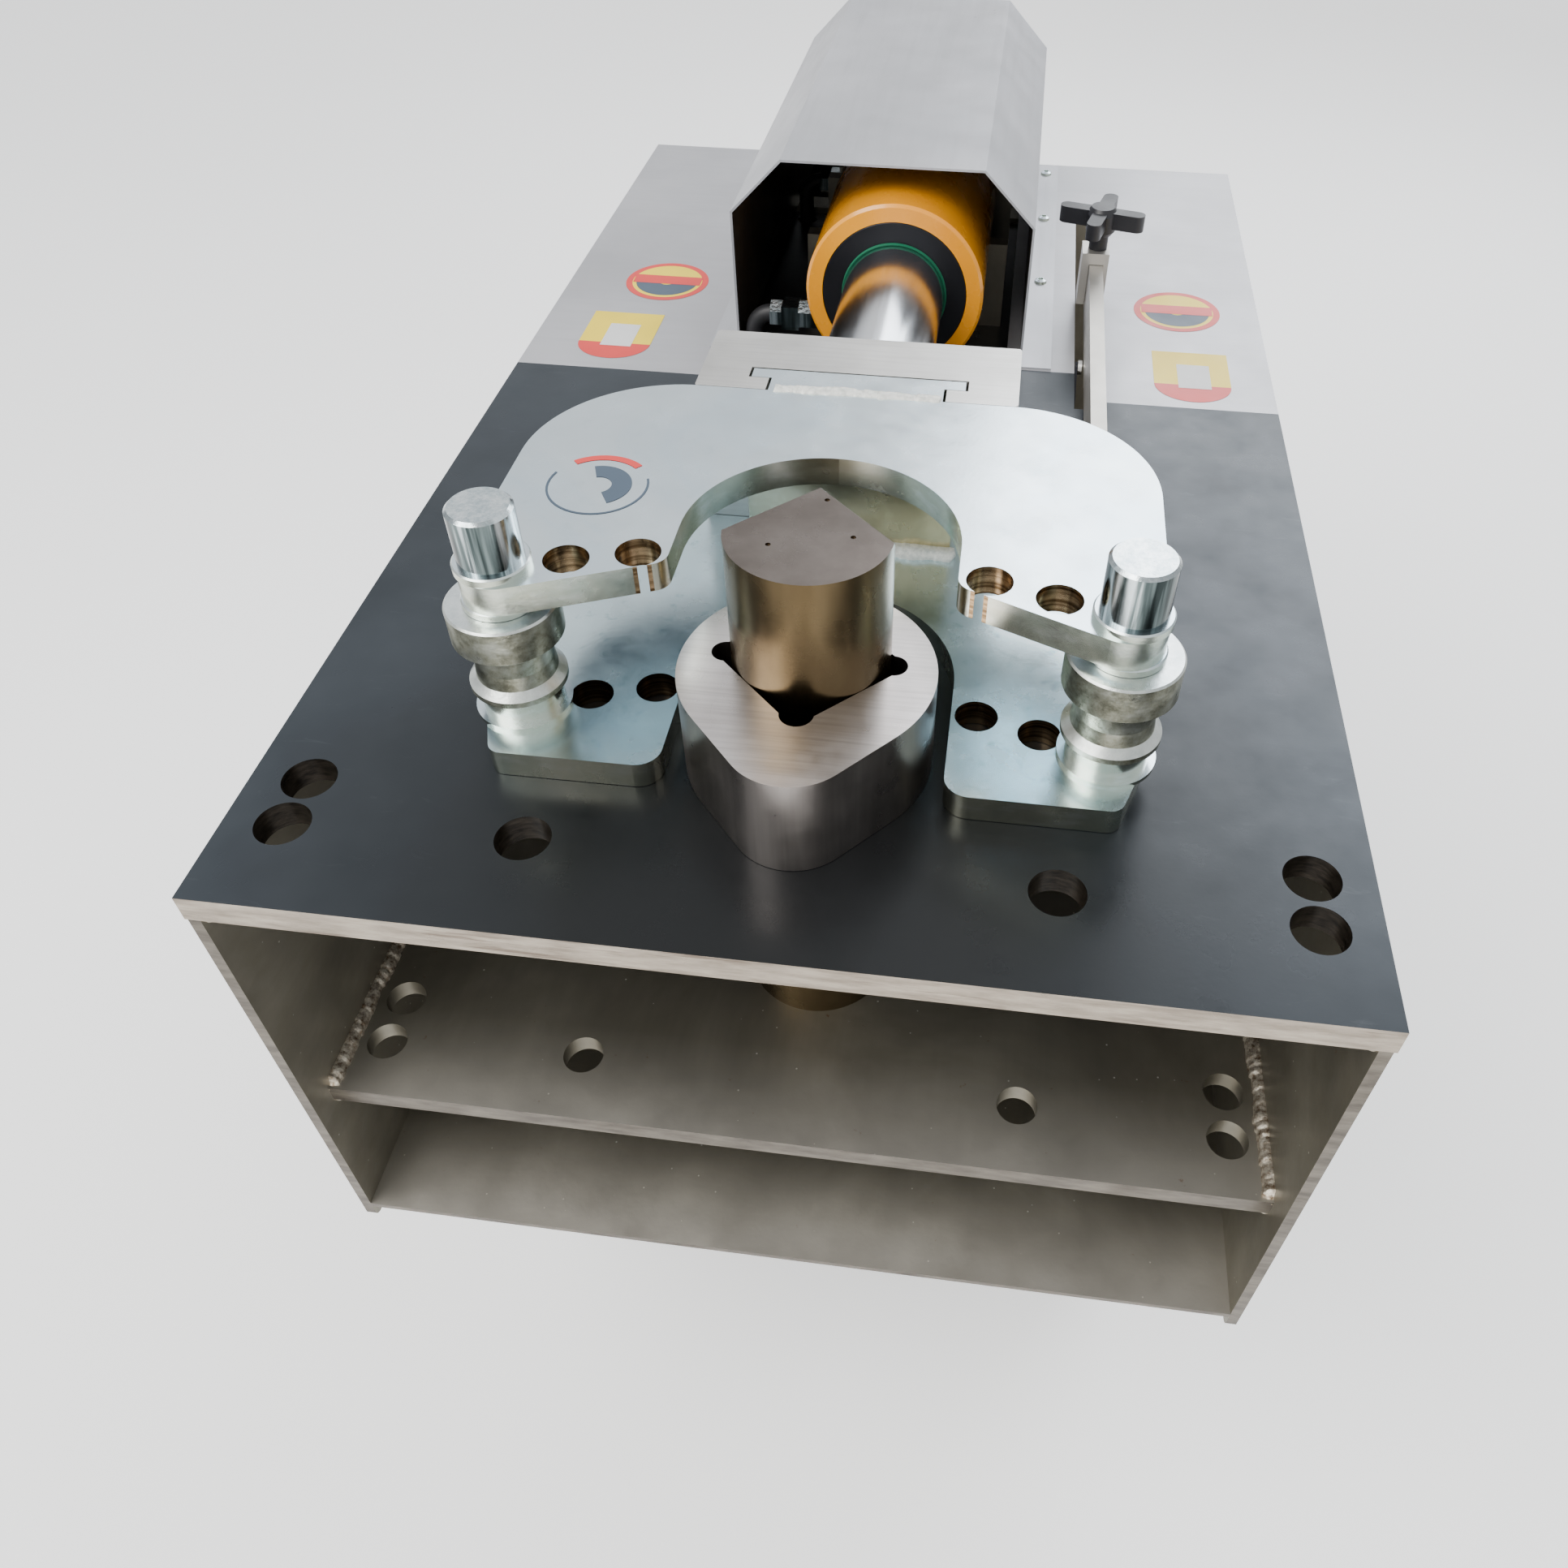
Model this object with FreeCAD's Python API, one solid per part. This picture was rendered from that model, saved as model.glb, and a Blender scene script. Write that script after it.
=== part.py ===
import FreeCAD, Part
import math
import os

# Hydraulic rebar bender on a welded stand.
#
# The model is drawn in the bed's own coordinates, in millimetres:
#   X  from the centre plane, positive to the operator's right
#   Y  from the table's front edge, positive towards the cylinder and the rear
#   Z  from the table's working face, positive up
# save() moves every shape to the row frame: origin on the floor, in the middle of the
# machine's length and width, front facing -Y.

V = FreeCAD.Vector
X, Y, Z = V(1, 0, 0), V(0, 1, 0), V(0, 0, 1)

# ---------------------------------------------------------------- driving dimensions
TABLE_WIDTH = 700.0
TABLE_DEPTH = 641.0
TABLE_THICK = 20.0
TABLE_HEIGHT = 900.0
BED_LENGTH = 1200.0
BED_DEPTH = 417.0
OVERALL_LENGTH = 1336.4

BAR_MAX = 32.0
RAM_ADVANCE = 55.0
RAM_RETRACT = 160.0

RUN = 0.06          # radial running clearance of a shaft in its hole
GAP = 0.4           # clearance between pieces that slide past each other

HALF = TABLE_WIDTH / 2

# bed
SIDE_INSET = 2.0
SIDE_THICK = 8.0
SIDE_OUT = HALF - SIDE_INSET
SIDE_IN = SIDE_OUT - SIDE_THICK
COVER_THICK = 2.0
SHELF_TOP = -248.0
SHELF_THICK = 16.0
SHELF_FRONT = 20.0
SHELF_REAR = 620.0
FLOOR_TOP = -394.0
FLOOR_THICK = 5.0
REAR_THICK = 8.0
TABLE_HOLE_R = 17.5
SHELF_HOLE_R = 15.0
TABLE_HOLES = [(side * x, y) for side in (-1, 1) for x, y in ((312.0, 102.0), (312.0, 63.6), (162.0, 71.3))]

# post and former
POST_Y = 186.0
POST_R = 50.0
POST_TOP = 160.0
SHANK_R = 45.0
SHANK_BOTTOM = SHELF_TOP - SHELF_THICK
SLEEVE_R = 54.5
FORMER_Y = 167.0
FORMER_R = 80.0
NOSE_Y = 106.5
NOSE_R = 40.0
FORMER_HEIGHT = 73.0
SOCKET_Y = 176.0
SOCKET_HALF = 61.1

# yoke
PLATE = 20.0
YOKE_TOP = 129.5
YOKE_GAP_TOP = YOKE_TOP - PLATE
YOKE_REAR = 394.0
YOKE_REAR_R = 99.0
YOKE_MOUTH = 87.0
YOKE_MOUTH_END = 312.0
PIN_R = 14.0
PIN_HEAD_R = 20.0
WASHER_R = 23.5
WASHER_THICK = 5.5
PIN_HOLES = ((105.5, 194.0), (146.5, 182.0), (188.0, 171.0))
PIN_X, PIN_Y = PIN_HOLES[2]
PIN_TOP = 171.5
ROLLER_R = 35.0
ROLLER_TOP = 104.0
WEB_FRONT = 366.0
WEB_HALF = 75.0
NECK_HALF = 62.0
TONGUE_HALF = 77.0
TONGUE_FRONT = 411.5
TONGUE_REAR = 423.5

# crosshead and its guide
HEAD_FRONT = YOKE_REAR + 0.5
HEAD_REAR = 478.0
HEAD_HALF = 115.0
GUIDE_HALF = 25.0
GUIDE_FRONT = 340.0
KEEPER_HALF = 70.0
KEEPER_THICK = 16.0
KEEPER_BOLTS = [(x, y) for x in (-12.0, 12.0) for y in (418.0, 454.0)]

# cylinder, its axis along Y
CYL_Z = 73.4
CYL_R = 79.2
CYL_BORE_R = 64.5
CYL_FRONT = 672.0
GLAND_LENGTH = 50.0
ROD_R = 44.5
ROD_SOCKET = 38.0
PISTON_THICK = 45.0
PISTON_FRONT = CYL_FRONT + GLAND_LENGTH + RAM_ADVANCE + 3.0
CAP_PLUG_FRONT = PISTON_FRONT + PISTON_THICK + RAM_RETRACT + 3.0
CAP_FRONT = CAP_PLUG_FRONT + 12.0
CAP_REAR = CAP_FRONT + 40.0
BULKHEAD_THICK = 30.0
PORT_Z = 36.0
LINE_X = -134.0
FRONT_PORT_Y = 700.0
REAR_PORT_Y = CAP_FRONT + 20.0

# hood over the cylinder and the channel under it
HOOD_LEFT, HOOD_RIGHT = -147.0, 117.0
HOOD_FRONT = 692.0
HOOD_REAR = 1192.0
HOOD_WALL = 130.0
HOOD_TOP = 175.0
SHEET = 2.0
FLANGE = 28.0
TRAY_LEFT, TRAY_RIGHT = -160.0, 105.0
BEAM_THICK = 12.0
BEAM_DEPTH = 150.0
TRAY_TOP = -8.0
SADDLES = ((790.0, 806.0), (930.0, 946.0))

# bend-angle stop on the right
BLADE_LEFT, BLADE_RIGHT = 177.0, 190.0
BLADE_TOP = 47.0
BLADE_FRONT, BLADE_REAR = 440.0, 850.0
BLADE_MID = (BLADE_LEFT + BLADE_RIGHT) / 2
SLOT_LEFT, SLOT_RIGHT = 169.0, 191.5
SLOT_FRONT, SLOT_REAR = 626.0, 1050.0
TONGUE_END = 690.0    # rear end of the thin strip of table beside the crosshead
STOP_Y = 833.0
STOP_TOP = 58.0
STUD_R = 5.0
LEVER_X = 172.8
LEVER_PIVOT = (660.0, -26.0)
LEVER_TIP = (706.0, -2.0)

# stand and hydraulic power pack
LEG = 80.0
LEG_WALL = 4.0
LEG_X = 285.0
LEG_Y = (330.0, 1130.0)
FOOT = 120.0
FOOT_THICK = 12.0
ANCHOR_R = 7.0
RAIL_TOP = -760.0
RAIL_HEIGHT = 40.0
RAIL_WIDTH = 60.0
PACK_FLOOR = RAIL_TOP + 6.0
TANK_X = (-270.0, -10.0)
TANK_Y = (470.0, 1040.0)
TANK_TOP = -490.0
FILLER = (-140.0, 940.0)
LID_TOP = TANK_TOP + 8.0
BLOCK_TOP = -425.0
LINE_R = 8.0
LINE_BEND = 40.0
ELBOW_BEND = 18.0
LINE_Y = (FRONT_PORT_Y, 760.0)
MOTOR_X = 140.0
MOTOR_Z = PACK_FLOOR + 120.0
MOTOR_R = 80.0
SHAFT_R = 14.0


# ---------------------------------------------------------------- shape helpers
def box(x, y, z):
    """A block from pairs of limits on each axis."""
    return Part.makeBox(x[1] - x[0], y[1] - y[0], z[1] - z[0], V(x[0], y[0], z[0]))


def rod_x(y, z, r, x0, x1):
    return Part.makeCylinder(r, x1 - x0, V(x0, y, z), X)


def rod_y(x, z, r, y0, y1):
    return Part.makeCylinder(r, y1 - y0, V(x, y0, z), Y)


def rod_z(x, y, r, z0, z1):
    return Part.makeCylinder(r, z1 - z0, V(x, y, z0), Z)


def hexagon(centre, axis, across, length):
    """A hexagonal prism that starts at centre and runs along axis."""
    start = X if abs(axis.x) < 0.5 else Z
    other = axis.cross(start)
    r = across / math.sqrt(3)
    points = [centre + start * (r * math.cos(a)) + other * (r * math.sin(a))
              for a in (math.radians(60 * k) for k in range(7))]
    return Part.Face(Part.makePolygon(points)).extrude(axis * length)


def outline(corners, z):
    """A closed wire at height z through (x, y, radius) corners, each rounded by its radius."""
    count = len(corners)
    starts, ends, mids = [], [], []
    for k, (x, y, r) in enumerate(corners):
        here = V(x, y, z)
        before = V(corners[k - 1][0], corners[k - 1][1], z)
        after = V(corners[(k + 1) % count][0], corners[(k + 1) % count][1], z)
        back = (before - here).normalize()
        on = (after - here).normalize()
        half = back.getAngle(on) / 2
        reach = r / math.tan(half)
        starts.append(here + back * reach)
        ends.append(here + on * reach)
        bisector = (back + on).normalize()
        mids.append(here + bisector * (r / math.sin(half) - r))
    edges = []
    for k in range(count):
        if corners[k][2] > 0:
            edges.append(Part.Arc(starts[k], mids[k], ends[k]).toShape())
        following = starts[(k + 1) % count]
        if (following - ends[k]).Length > 1e-6:
            edges.append(Part.LineSegment(ends[k], following).toShape())
    return Part.Wire(edges)


def plate(corners, z0, z1):
    """A flat plate with the given rounded outline between two heights."""
    return Part.Face(outline(corners, z0)).extrude(V(0, 0, z1 - z0))


def section_x(points, x0, x1):
    """A prism along X from (y, z) points."""
    ring = [V(x0, y, z) for y, z in points]
    return Part.Face(Part.makePolygon(ring + ring[:1])).extrude(V(x1 - x0, 0, 0))


def section_y(points, y0, y1):
    """A prism along Y from (x, z) points."""
    ring = [V(x, y0, z) for x, z in points]
    return Part.Face(Part.makePolygon(ring + ring[:1])).extrude(V(0, y1 - y0, 0))


def turned(profile, x, y):
    """A solid of revolution about the vertical line through (x, y), from (radius, z) points."""
    ring = [V(x + r, y, z) for r, z in profile]
    return Part.Face(Part.makePolygon(ring + ring[:1])).revolve(V(x, y, 0), Z, 360)


def turned_y(profile, x, z):
    """A solid of revolution about the line along Y through (x, z), from (radius, y) points."""
    ring = [V(x + r, y, z) for r, y in profile]
    return Part.Face(Part.makePolygon(ring + ring[:1])).revolve(V(x, 0, z), Y, 360)


def tube_path(points, r, bends):
    """A round tube along straight runs joined by tangent arcs, one bend radius per corner."""
    edges = []
    start = points[0]
    for k in range(1, len(points) - 1):
        bend = bends[k - 1]
        back = (points[k - 1] - points[k]).normalize()
        on = (points[k + 1] - points[k]).normalize()
        half = back.getAngle(on) / 2
        reach = bend / math.tan(half)
        first = points[k] + back * reach
        last = points[k] + on * reach
        middle = points[k] + (back + on).normalize() * (bend / math.sin(half) - bend)
        edges.append(Part.LineSegment(start, first).toShape())
        edges.append(Part.Arc(first, middle, last).toShape())
        start = last
    edges.append(Part.LineSegment(start, points[-1]).toShape())
    heading = (points[1] - points[0]).normalize()
    ring = Part.Wire(Part.makeCircle(r, points[0], heading))
    return Part.Wire(edges).makePipeShell([ring], True, False)


def drilled(shape, holes):
    """The shape with a list of solids cut away."""
    for hole in holes:
        shape = shape.cut(hole)
    return shape


def joined(shapes):
    """One solid from touching shapes."""
    whole = shapes[0].fuse(shapes[1:])
    return whole.removeSplitter()


def bolt_down(x, y, z, r, head_r, head, length):
    """A socket-head bolt standing on z, its shank going down."""
    body = rod_z(x, y, head_r, z, z + head)
    body = body.cut(hexagon(V(x, y, z + head * 0.45), Z, head_r, head))
    return body.fuse(rod_z(x, y, r, z - length, z)).removeSplitter()


# ---------------------------------------------------------------- bed
def post_hole(z0, z1):
    return rod_z(0, POST_Y, SHANK_R + RUN, z0, z1)


def top_plate():
    body = box((-HALF, HALF), (0, TABLE_DEPTH), (-TABLE_THICK, 0))
    body = joined([body, box((TRAY_RIGHT, SLOT_LEFT), (TABLE_DEPTH, TONGUE_END), (-COVER_THICK, 0))])
    holes = [rod_z(x, y, TABLE_HOLE_R, -TABLE_THICK - 1, 1) for x, y in TABLE_HOLES]
    holes.append(post_hole(-TABLE_THICK - 1, 1))
    holes.append(box((-GUIDE_HALF, GUIDE_HALF), (GUIDE_FRONT, TABLE_DEPTH + 1), (-TABLE_THICK - 1, 1)))
    holes.append(box((SLOT_LEFT, SLOT_RIGHT), (SLOT_FRONT, TABLE_DEPTH + 1), (-TABLE_THICK - 1, 1)))
    return drilled(body, holes)


def mid_shelf():
    z0, z1 = SHELF_TOP - SHELF_THICK, SHELF_TOP
    body = box((-SIDE_IN, SIDE_IN), (SHELF_FRONT, SHELF_REAR), (z0, z1))
    holes = [rod_z(x, y, SHELF_HOLE_R, z0 - 1, z1 + 1) for x, y in TABLE_HOLES]
    return drilled(body, holes + [post_hole(z0 - 1, z1 + 1)])


def bottom_plate():
    z0, z1 = FLOOR_TOP - FLOOR_THICK, FLOOR_TOP
    body = box((-SIDE_IN, SIDE_IN), (0, BED_LENGTH - REAR_THICK), (z0, z1))
    return drilled(body, [rod_z(LINE_X, y, LINE_R + 4, z0 - 1, z1 + 1) for y in LINE_Y])


def side_plate(side):
    corner = 7.0
    points = [(corner, -BED_DEPTH), (BED_LENGTH, -BED_DEPTH), (BED_LENGTH, -COVER_THICK),
              (TABLE_DEPTH, -COVER_THICK), (TABLE_DEPTH, -TABLE_THICK), (0, -TABLE_THICK),
              (0, corner - BED_DEPTH)]
    body = section_x(points, SIDE_IN, SIDE_OUT)
    body = body.fuse(rod_x(corner, corner - BED_DEPTH, corner, SIDE_IN, SIDE_OUT)).removeSplitter()
    return body if side > 0 else body.mirror(V(), X)


def rear_plate():
    y0 = BED_LENGTH - REAR_THICK
    return box((-SIDE_IN, SIDE_IN), (y0, BED_LENGTH), (FLOOR_TOP - FLOOR_THICK, -COVER_THICK))


def rear_bulkhead():
    """Thick plate across the bed that takes the cylinder's thrust."""
    y = (CAP_REAR, CAP_REAR + BULKHEAD_THICK)
    low = box((-SIDE_IN, SIDE_IN), y, (FLOOR_TOP, -COVER_THICK))
    high = box((-CYL_R - 20, CYL_R + 10), y, (-COVER_THICK, HOOD_WALL + 10))
    body = joined([low, high])
    return drilled(body, [cap_bolt_hole(x, z) for x, z in cap_bolt_places()])


def inner_beam(x0):
    return box((x0, x0 + BEAM_THICK), (TABLE_DEPTH, CAP_REAR), (-BEAM_DEPTH, -COVER_THICK))


def saddle(y):
    """One cross-member under the tray and one cradle on it, in the same plane."""
    low = box((TRAY_LEFT, TRAY_RIGHT), y, (-80, TRAY_TOP - COVER_THICK))
    cradle = box((-96, 96), y, (TRAY_TOP, CYL_Z)).cut(rod_y(0, CYL_Z, CYL_R, y[0] - 1, y[1] + 1))
    return [low, cradle]


def cylinder_tray():
    """Floor sheet of the hood, between the two inner beams."""
    z = (TRAY_TOP - COVER_THICK, TRAY_TOP)
    body = box((TRAY_LEFT, TRAY_RIGHT), (TABLE_DEPTH, CAP_REAR), z)
    ports = (FRONT_PORT_Y, REAR_PORT_Y)
    return drilled(body, [rod_z(LINE_X, y, LINE_R + 3, z[0] - 1, z[1] + 1) for y in ports])


def cover_left():
    return box((-HALF, TRAY_LEFT), (TABLE_DEPTH, BED_LENGTH), (-COVER_THICK, 0))


def cover_right():
    body = box((TRAY_RIGHT, HALF), (TABLE_DEPTH, BED_LENGTH), (-COVER_THICK, 0))
    body = body.cut(box((TRAY_RIGHT - 1, SLOT_LEFT + 1), (TABLE_DEPTH - 1, TONGUE_END), (-COVER_THICK - 1, 1)))
    return body.cut(box((SLOT_LEFT, SLOT_RIGHT), (TABLE_DEPTH - 1, SLOT_REAR), (-COVER_THICK - 1, 1)))


def hood_profile(grow):
    """Half-open hood section in XZ, its walls moved out by grow."""
    chamfer = HOOD_TOP - HOOD_WALL
    low, left, right, top = 0, HOOD_LEFT - grow, HOOD_RIGHT + grow, HOOD_TOP + grow
    shift = grow * math.tan(math.radians(22.5))
    return [(left, low), (left, HOOD_WALL + shift), (left + chamfer + grow - shift, top),
            (right - chamfer - grow + shift, top), (right, HOOD_WALL + shift), (right, low)]


def hood():
    outer = section_y(hood_profile(SHEET), HOOD_FRONT, HOOD_REAR)
    inner = section_y(hood_profile(0), HOOD_FRONT - 1, HOOD_REAR - SHEET)
    shell = outer.cut(inner)
    y = (HOOD_FRONT, HOOD_REAR)
    left = box((HOOD_LEFT - SHEET - FLANGE, HOOD_LEFT - SHEET), y, (0, SHEET))
    right = box((HOOD_RIGHT + SHEET, HOOD_RIGHT + SHEET + FLANGE), y, (0, SHEET))
    body = joined([shell, left, right])
    for k in range(5):
        for x in (HOOD_LEFT + 34, 0, HOOD_RIGHT - 34):
            y0 = HOOD_REAR - SHEET - 1
            body = body.cut(box((x - 18, x + 18), (y0, HOOD_REAR + 1), (36 + 22 * k, 42 + 22 * k)))
    return drilled(body, [rod_z(x, y, 3.2, -1, SHEET + 1) for x, y in hood_screw_places()])


def hood_screw_places():
    xs = (HOOD_LEFT - SHEET - FLANGE / 2, HOOD_RIGHT + SHEET + FLANGE / 2)
    return [(x, y) for x in xs for y in (873.0, 1033.0, 1165.0)]


def button_screw(x, y, z, r=3.2, head_r=6.5, head=3.6, length=SHEET):
    """A round-headed screw standing on z with a hexagon socket."""
    profile = [(0, z), (head_r, z), (head_r * 0.86, z + head * 0.6), (head_r * 0.5, z + head), (0, z + head)]
    dome = turned(profile, x, y)
    dome = dome.cut(hexagon(V(x, y, z + head * 0.5), Z, head_r * 0.8, head))
    return dome.fuse(rod_z(x, y, r, z - length, z)).removeSplitter()


def hood_screws():
    return [button_screw(x, y, SHEET) for x, y in hood_screw_places()]


# ---------------------------------------------------------------- stand
def leg(x, y):
    z = (-TABLE_HEIGHT + FOOT_THICK, FLOOR_TOP - FLOOR_THICK)
    half, inner = LEG / 2, LEG / 2 - LEG_WALL
    body = box((x - half, x + half), (y - half, y + half), z)
    return body.cut(box((x - inner, x + inner), (y - inner, y + inner), (z[0] - 1, z[1] + 1)))


def foot_plate(x, y):
    half = FOOT / 2
    z = (-TABLE_HEIGHT, -TABLE_HEIGHT + FOOT_THICK)
    corners = [(x + a * half, y + b * half, 8) for a, b in ((-1, -1), (1, -1), (1, 1), (-1, 1))]
    body = plate(corners, z[0], z[1])
    out = 48.0
    holes = [rod_z(x + a * out, y + b * out, ANCHOR_R, z[0] - 1, z[1] + 1) for a in (-1, 1) for b in (-1, 1)]
    return drilled(body, holes)


def tube_y(x, y, z, wall=3.0):
    inner = ((x[0] + wall, x[1] - wall), (y[0] - 1, y[1] + 1), (z[0] + wall, z[1] - wall))
    return box(x, y, z).cut(box(*inner))


def stand_rails():
    z = (RAIL_TOP - RAIL_HEIGHT, RAIL_TOP)
    half_leg, half_rail = LEG / 2, RAIL_WIDTH / 2
    rails = []
    for side in (-1, 1):
        x = side * LEG_X
        rails.append(tube_y((x - half_rail, x + half_rail), (LEG_Y[0] + half_leg, LEG_Y[1] - half_leg), z))
    for y in LEG_Y:
        x = (-LEG_X + half_leg, LEG_X - half_leg)
        outer = box(x, (y - half_rail, y + half_rail), z)
        inner = box((x[0] - 1, x[1] + 1), (y - half_rail + 3, y + half_rail - 3), (z[0] + 3, z[1] - 3))
        rails.append(outer.cut(inner))
    return rails


def pack_shelf():
    y = (LEG_Y[0] + LEG / 2, LEG_Y[1] - LEG / 2)
    return box((-LEG_X - 25, LEG_X + 25), y, (RAIL_TOP, PACK_FLOOR))


# ---------------------------------------------------------------- post and former
def centre_post():
    """Bending post: round in front, two flats that meet at the rear, on a thinner shank."""
    rear = POST_Y + POST_R
    head = rod_z(0, POST_Y, POST_R, 0.05, POST_TOP)
    bevel = 3.5
    for side in (-1, 1):
        wedge = [V(0, rear, 0), V(side * 60, rear - 60, 0), V(side * 60, rear + 10, 0), V(0, rear + 10, 0)]
        head = head.cut(Part.Face(Part.makePolygon(wedge + wedge[:1])).extrude(V(0, 0, POST_TOP + 1)))
    for side in (-1, 1):
        inset = bevel * math.sqrt(2)
        ring = [V(0, rear, POST_TOP - bevel), V(0, rear - inset, POST_TOP), V(0, rear - inset, POST_TOP + 1),
                V(0, rear + 1, POST_TOP + 1), V(0, rear + 1, POST_TOP - bevel)]
        head = head.cut(Part.Face(Part.makePolygon(ring + ring[:1])).extrude(V(side * 60, -60, 0)))
    dimples = [(-21, 171), (26, 184), (6, 219)]
    head = drilled(head, [rod_z(x, y, 1.6, POST_TOP - 1.5, POST_TOP + 1) for x, y in dimples])
    return joined([head, rod_z(0, POST_Y, SHANK_R, SHANK_BOTTOM, 0.05)])


def post_sleeve():
    """The tube that guides the shank between table and shelf."""
    tube = rod_z(0, POST_Y, SLEEVE_R, SHELF_TOP, -TABLE_THICK)
    return tube.cut(post_hole(SHELF_TOP - 1, 0))


def former_blank(z0, z1):
    """Round back and a smaller round nose towards the operator, joined by tangent flanks."""
    lean = math.asin((FORMER_R - NOSE_R) / (FORMER_Y - NOSE_Y))
    flank = V(FORMER_R * math.cos(lean), FORMER_Y - FORMER_R * math.sin(lean), z0)
    nose = V(NOSE_R * math.cos(lean), NOSE_Y - NOSE_R * math.sin(lean), z0)
    left_flank = V(-flank.x, flank.y, z0)
    left_nose = V(-nose.x, nose.y, z0)
    edges = [Part.Arc(left_nose, V(0, NOSE_Y - NOSE_R, z0), nose).toShape(),
             Part.LineSegment(nose, flank).toShape(),
             Part.Arc(flank, V(0, FORMER_Y + FORMER_R, z0), left_flank).toShape(),
             Part.LineSegment(left_flank, left_nose).toShape()]
    return Part.Face(Part.Wire(edges)).extrude(V(0, 0, z1 - z0))


def former():
    """Bending former with a diagonal square socket, its corners opened by drilled reliefs."""
    body = former_blank(GAP, FORMER_HEIGHT)
    half, mid = SOCKET_HALF, SOCKET_Y
    square = [(0, mid - half, 0), (half, mid, 0), (0, mid + half, 0), (-half, mid, 0)]
    body = body.cut(plate(square, -1, FORMER_HEIGHT + 1))
    relief = [(0, mid - half + 10.8, 10.5), (half - 9, mid, 9.0), (9 - half, mid, 9.0)]
    return drilled(body, [rod_z(x, y, r, -1, FORMER_HEIGHT + 1) for x, y, r in relief])


# ---------------------------------------------------------------- yoke
def yoke_plate(corners, z0, z1):
    body = plate(corners, z0, z1)
    holes = [rod_z(side * x, y, PIN_R + RUN, z0 - 1, z1 + 1) for side in (-1, 1) for x, y in PIN_HOLES]
    return drilled(body, holes)


def mirrored_corners(right):
    """Corners of a plate from those of its right half, listed from the front centre round to the rear."""
    left = [(-x, y, r) for x, y, r in reversed(right)]
    return right + left


def yoke_upper_plate():
    mouth = YOKE_MOUTH
    right = [(mouth, YOKE_MOUTH_END, mouth), (mouth, 187, 12), (210, 134, 25), (210, YOKE_REAR, YOKE_REAR_R)]
    return yoke_plate(mirrored_corners(right), YOKE_GAP_TOP, YOKE_TOP)


def yoke_lower_plate():
    mouth = YOKE_MOUTH + 2
    right = [(mouth, YOKE_MOUTH_END, mouth), (mouth, 122, 16), (197, 121.5, 10), (212, 164, 20),
             (212, YOKE_REAR, YOKE_REAR_R)]
    return yoke_plate(mirrored_corners(right), GAP, PLATE)


def yoke_web():
    return box((-WEB_HALF, WEB_HALF), (WEB_FRONT, YOKE_REAR), (PLATE, YOKE_GAP_TOP))


def yoke_tongue():
    neck = box((-NECK_HALF, NECK_HALF), (YOKE_REAR, TONGUE_FRONT), (PLATE, YOKE_TOP))
    flange = box((-TONGUE_HALF, TONGUE_HALF), (TONGUE_FRONT, TONGUE_REAR), (PLATE, YOKE_TOP))
    return joined([neck, flange])


def pin(side):
    """Headed pin through both plates."""
    top, collar = PIN_TOP, YOKE_TOP + WASHER_THICK
    head = PIN_HEAD_R
    profile = [(0, 1.0), (PIN_R - 1.5, 1.0), (PIN_R, 2.5), (PIN_R, collar), (head, collar), (head, top - 2),
               (head - 2, top), (0, top)]
    return turned(profile, side * PIN_X, PIN_Y)


def roller(side):
    bore = PIN_R + RUN
    profile = [(bore, 40), (30, 40), (31, 41), (31, 45), (26, 50), (25, 60), (26, 76), (ROLLER_R - 1, 79),
               (ROLLER_R, 80), (ROLLER_R, ROLLER_TOP - 1.2), (ROLLER_R - 1.2, ROLLER_TOP), (bore, ROLLER_TOP)]
    return turned(profile, side * PIN_X, PIN_Y)


def roller_collars(side):
    """The washers above and below the upper plate, and the spacer and washer under a roller."""
    bore = PIN_R + RUN
    x = side * PIN_X
    rings = []
    for z in (YOKE_TOP, YOKE_GAP_TOP - WASHER_THICK + 0.3):
        top = z + WASHER_THICK - (0.3 if z < YOKE_TOP else 0)
        profile = [(bore, z), (WASHER_R, z), (WASHER_R, top - 1), (WASHER_R - 1, top), (bore, top)]
        rings.append(turned(profile, x, PIN_Y))
    spacer = [(bore, PLATE), (31, PLATE), (31, PLATE + 3), (26, PLATE + 3), (26, 39.7), (bore, 39.7)]
    rings.append(turned(spacer, x, PIN_Y))
    return rings


# ---------------------------------------------------------------- crosshead and ram
def crosshead():
    body = box((-HEAD_HALF, HEAD_HALF), (HEAD_FRONT, HEAD_REAR), (GAP, YOKE_TOP))
    floor = PLATE - 2
    neck = box((-NECK_HALF - 2, NECK_HALF + 2), (HEAD_FRONT - 1, TONGUE_FRONT), (floor, YOKE_TOP + 1))
    half = TONGUE_HALF + 2
    wide = box((-half, half), (TONGUE_FRONT - 0.5, TONGUE_REAR + 1.5), (floor, YOKE_TOP + 1))
    socket = rod_y(0, CYL_Z, ROD_R, HEAD_REAR - ROD_SOCKET, HEAD_REAR + 1)
    bolts = [rod_z(x, y, 6, 0, 16) for x, y in KEEPER_BOLTS]
    body = drilled(body, [neck, wide, socket] + bolts)
    corners = [e for e in body.Edges if is_outer_corner(e)]
    return body.makeChamfer(2.0, corners)


def is_outer_corner(edge):
    """The crosshead's four upright outside edges."""
    a, b = edge.Vertexes[0].Point, edge.Vertexes[-1].Point
    upright = abs(a.x - b.x) < 1e-6 and abs(a.y - b.y) < 1e-6
    outside = abs(abs(a.x) - HEAD_HALF) < 1e-6
    return upright and outside


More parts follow.
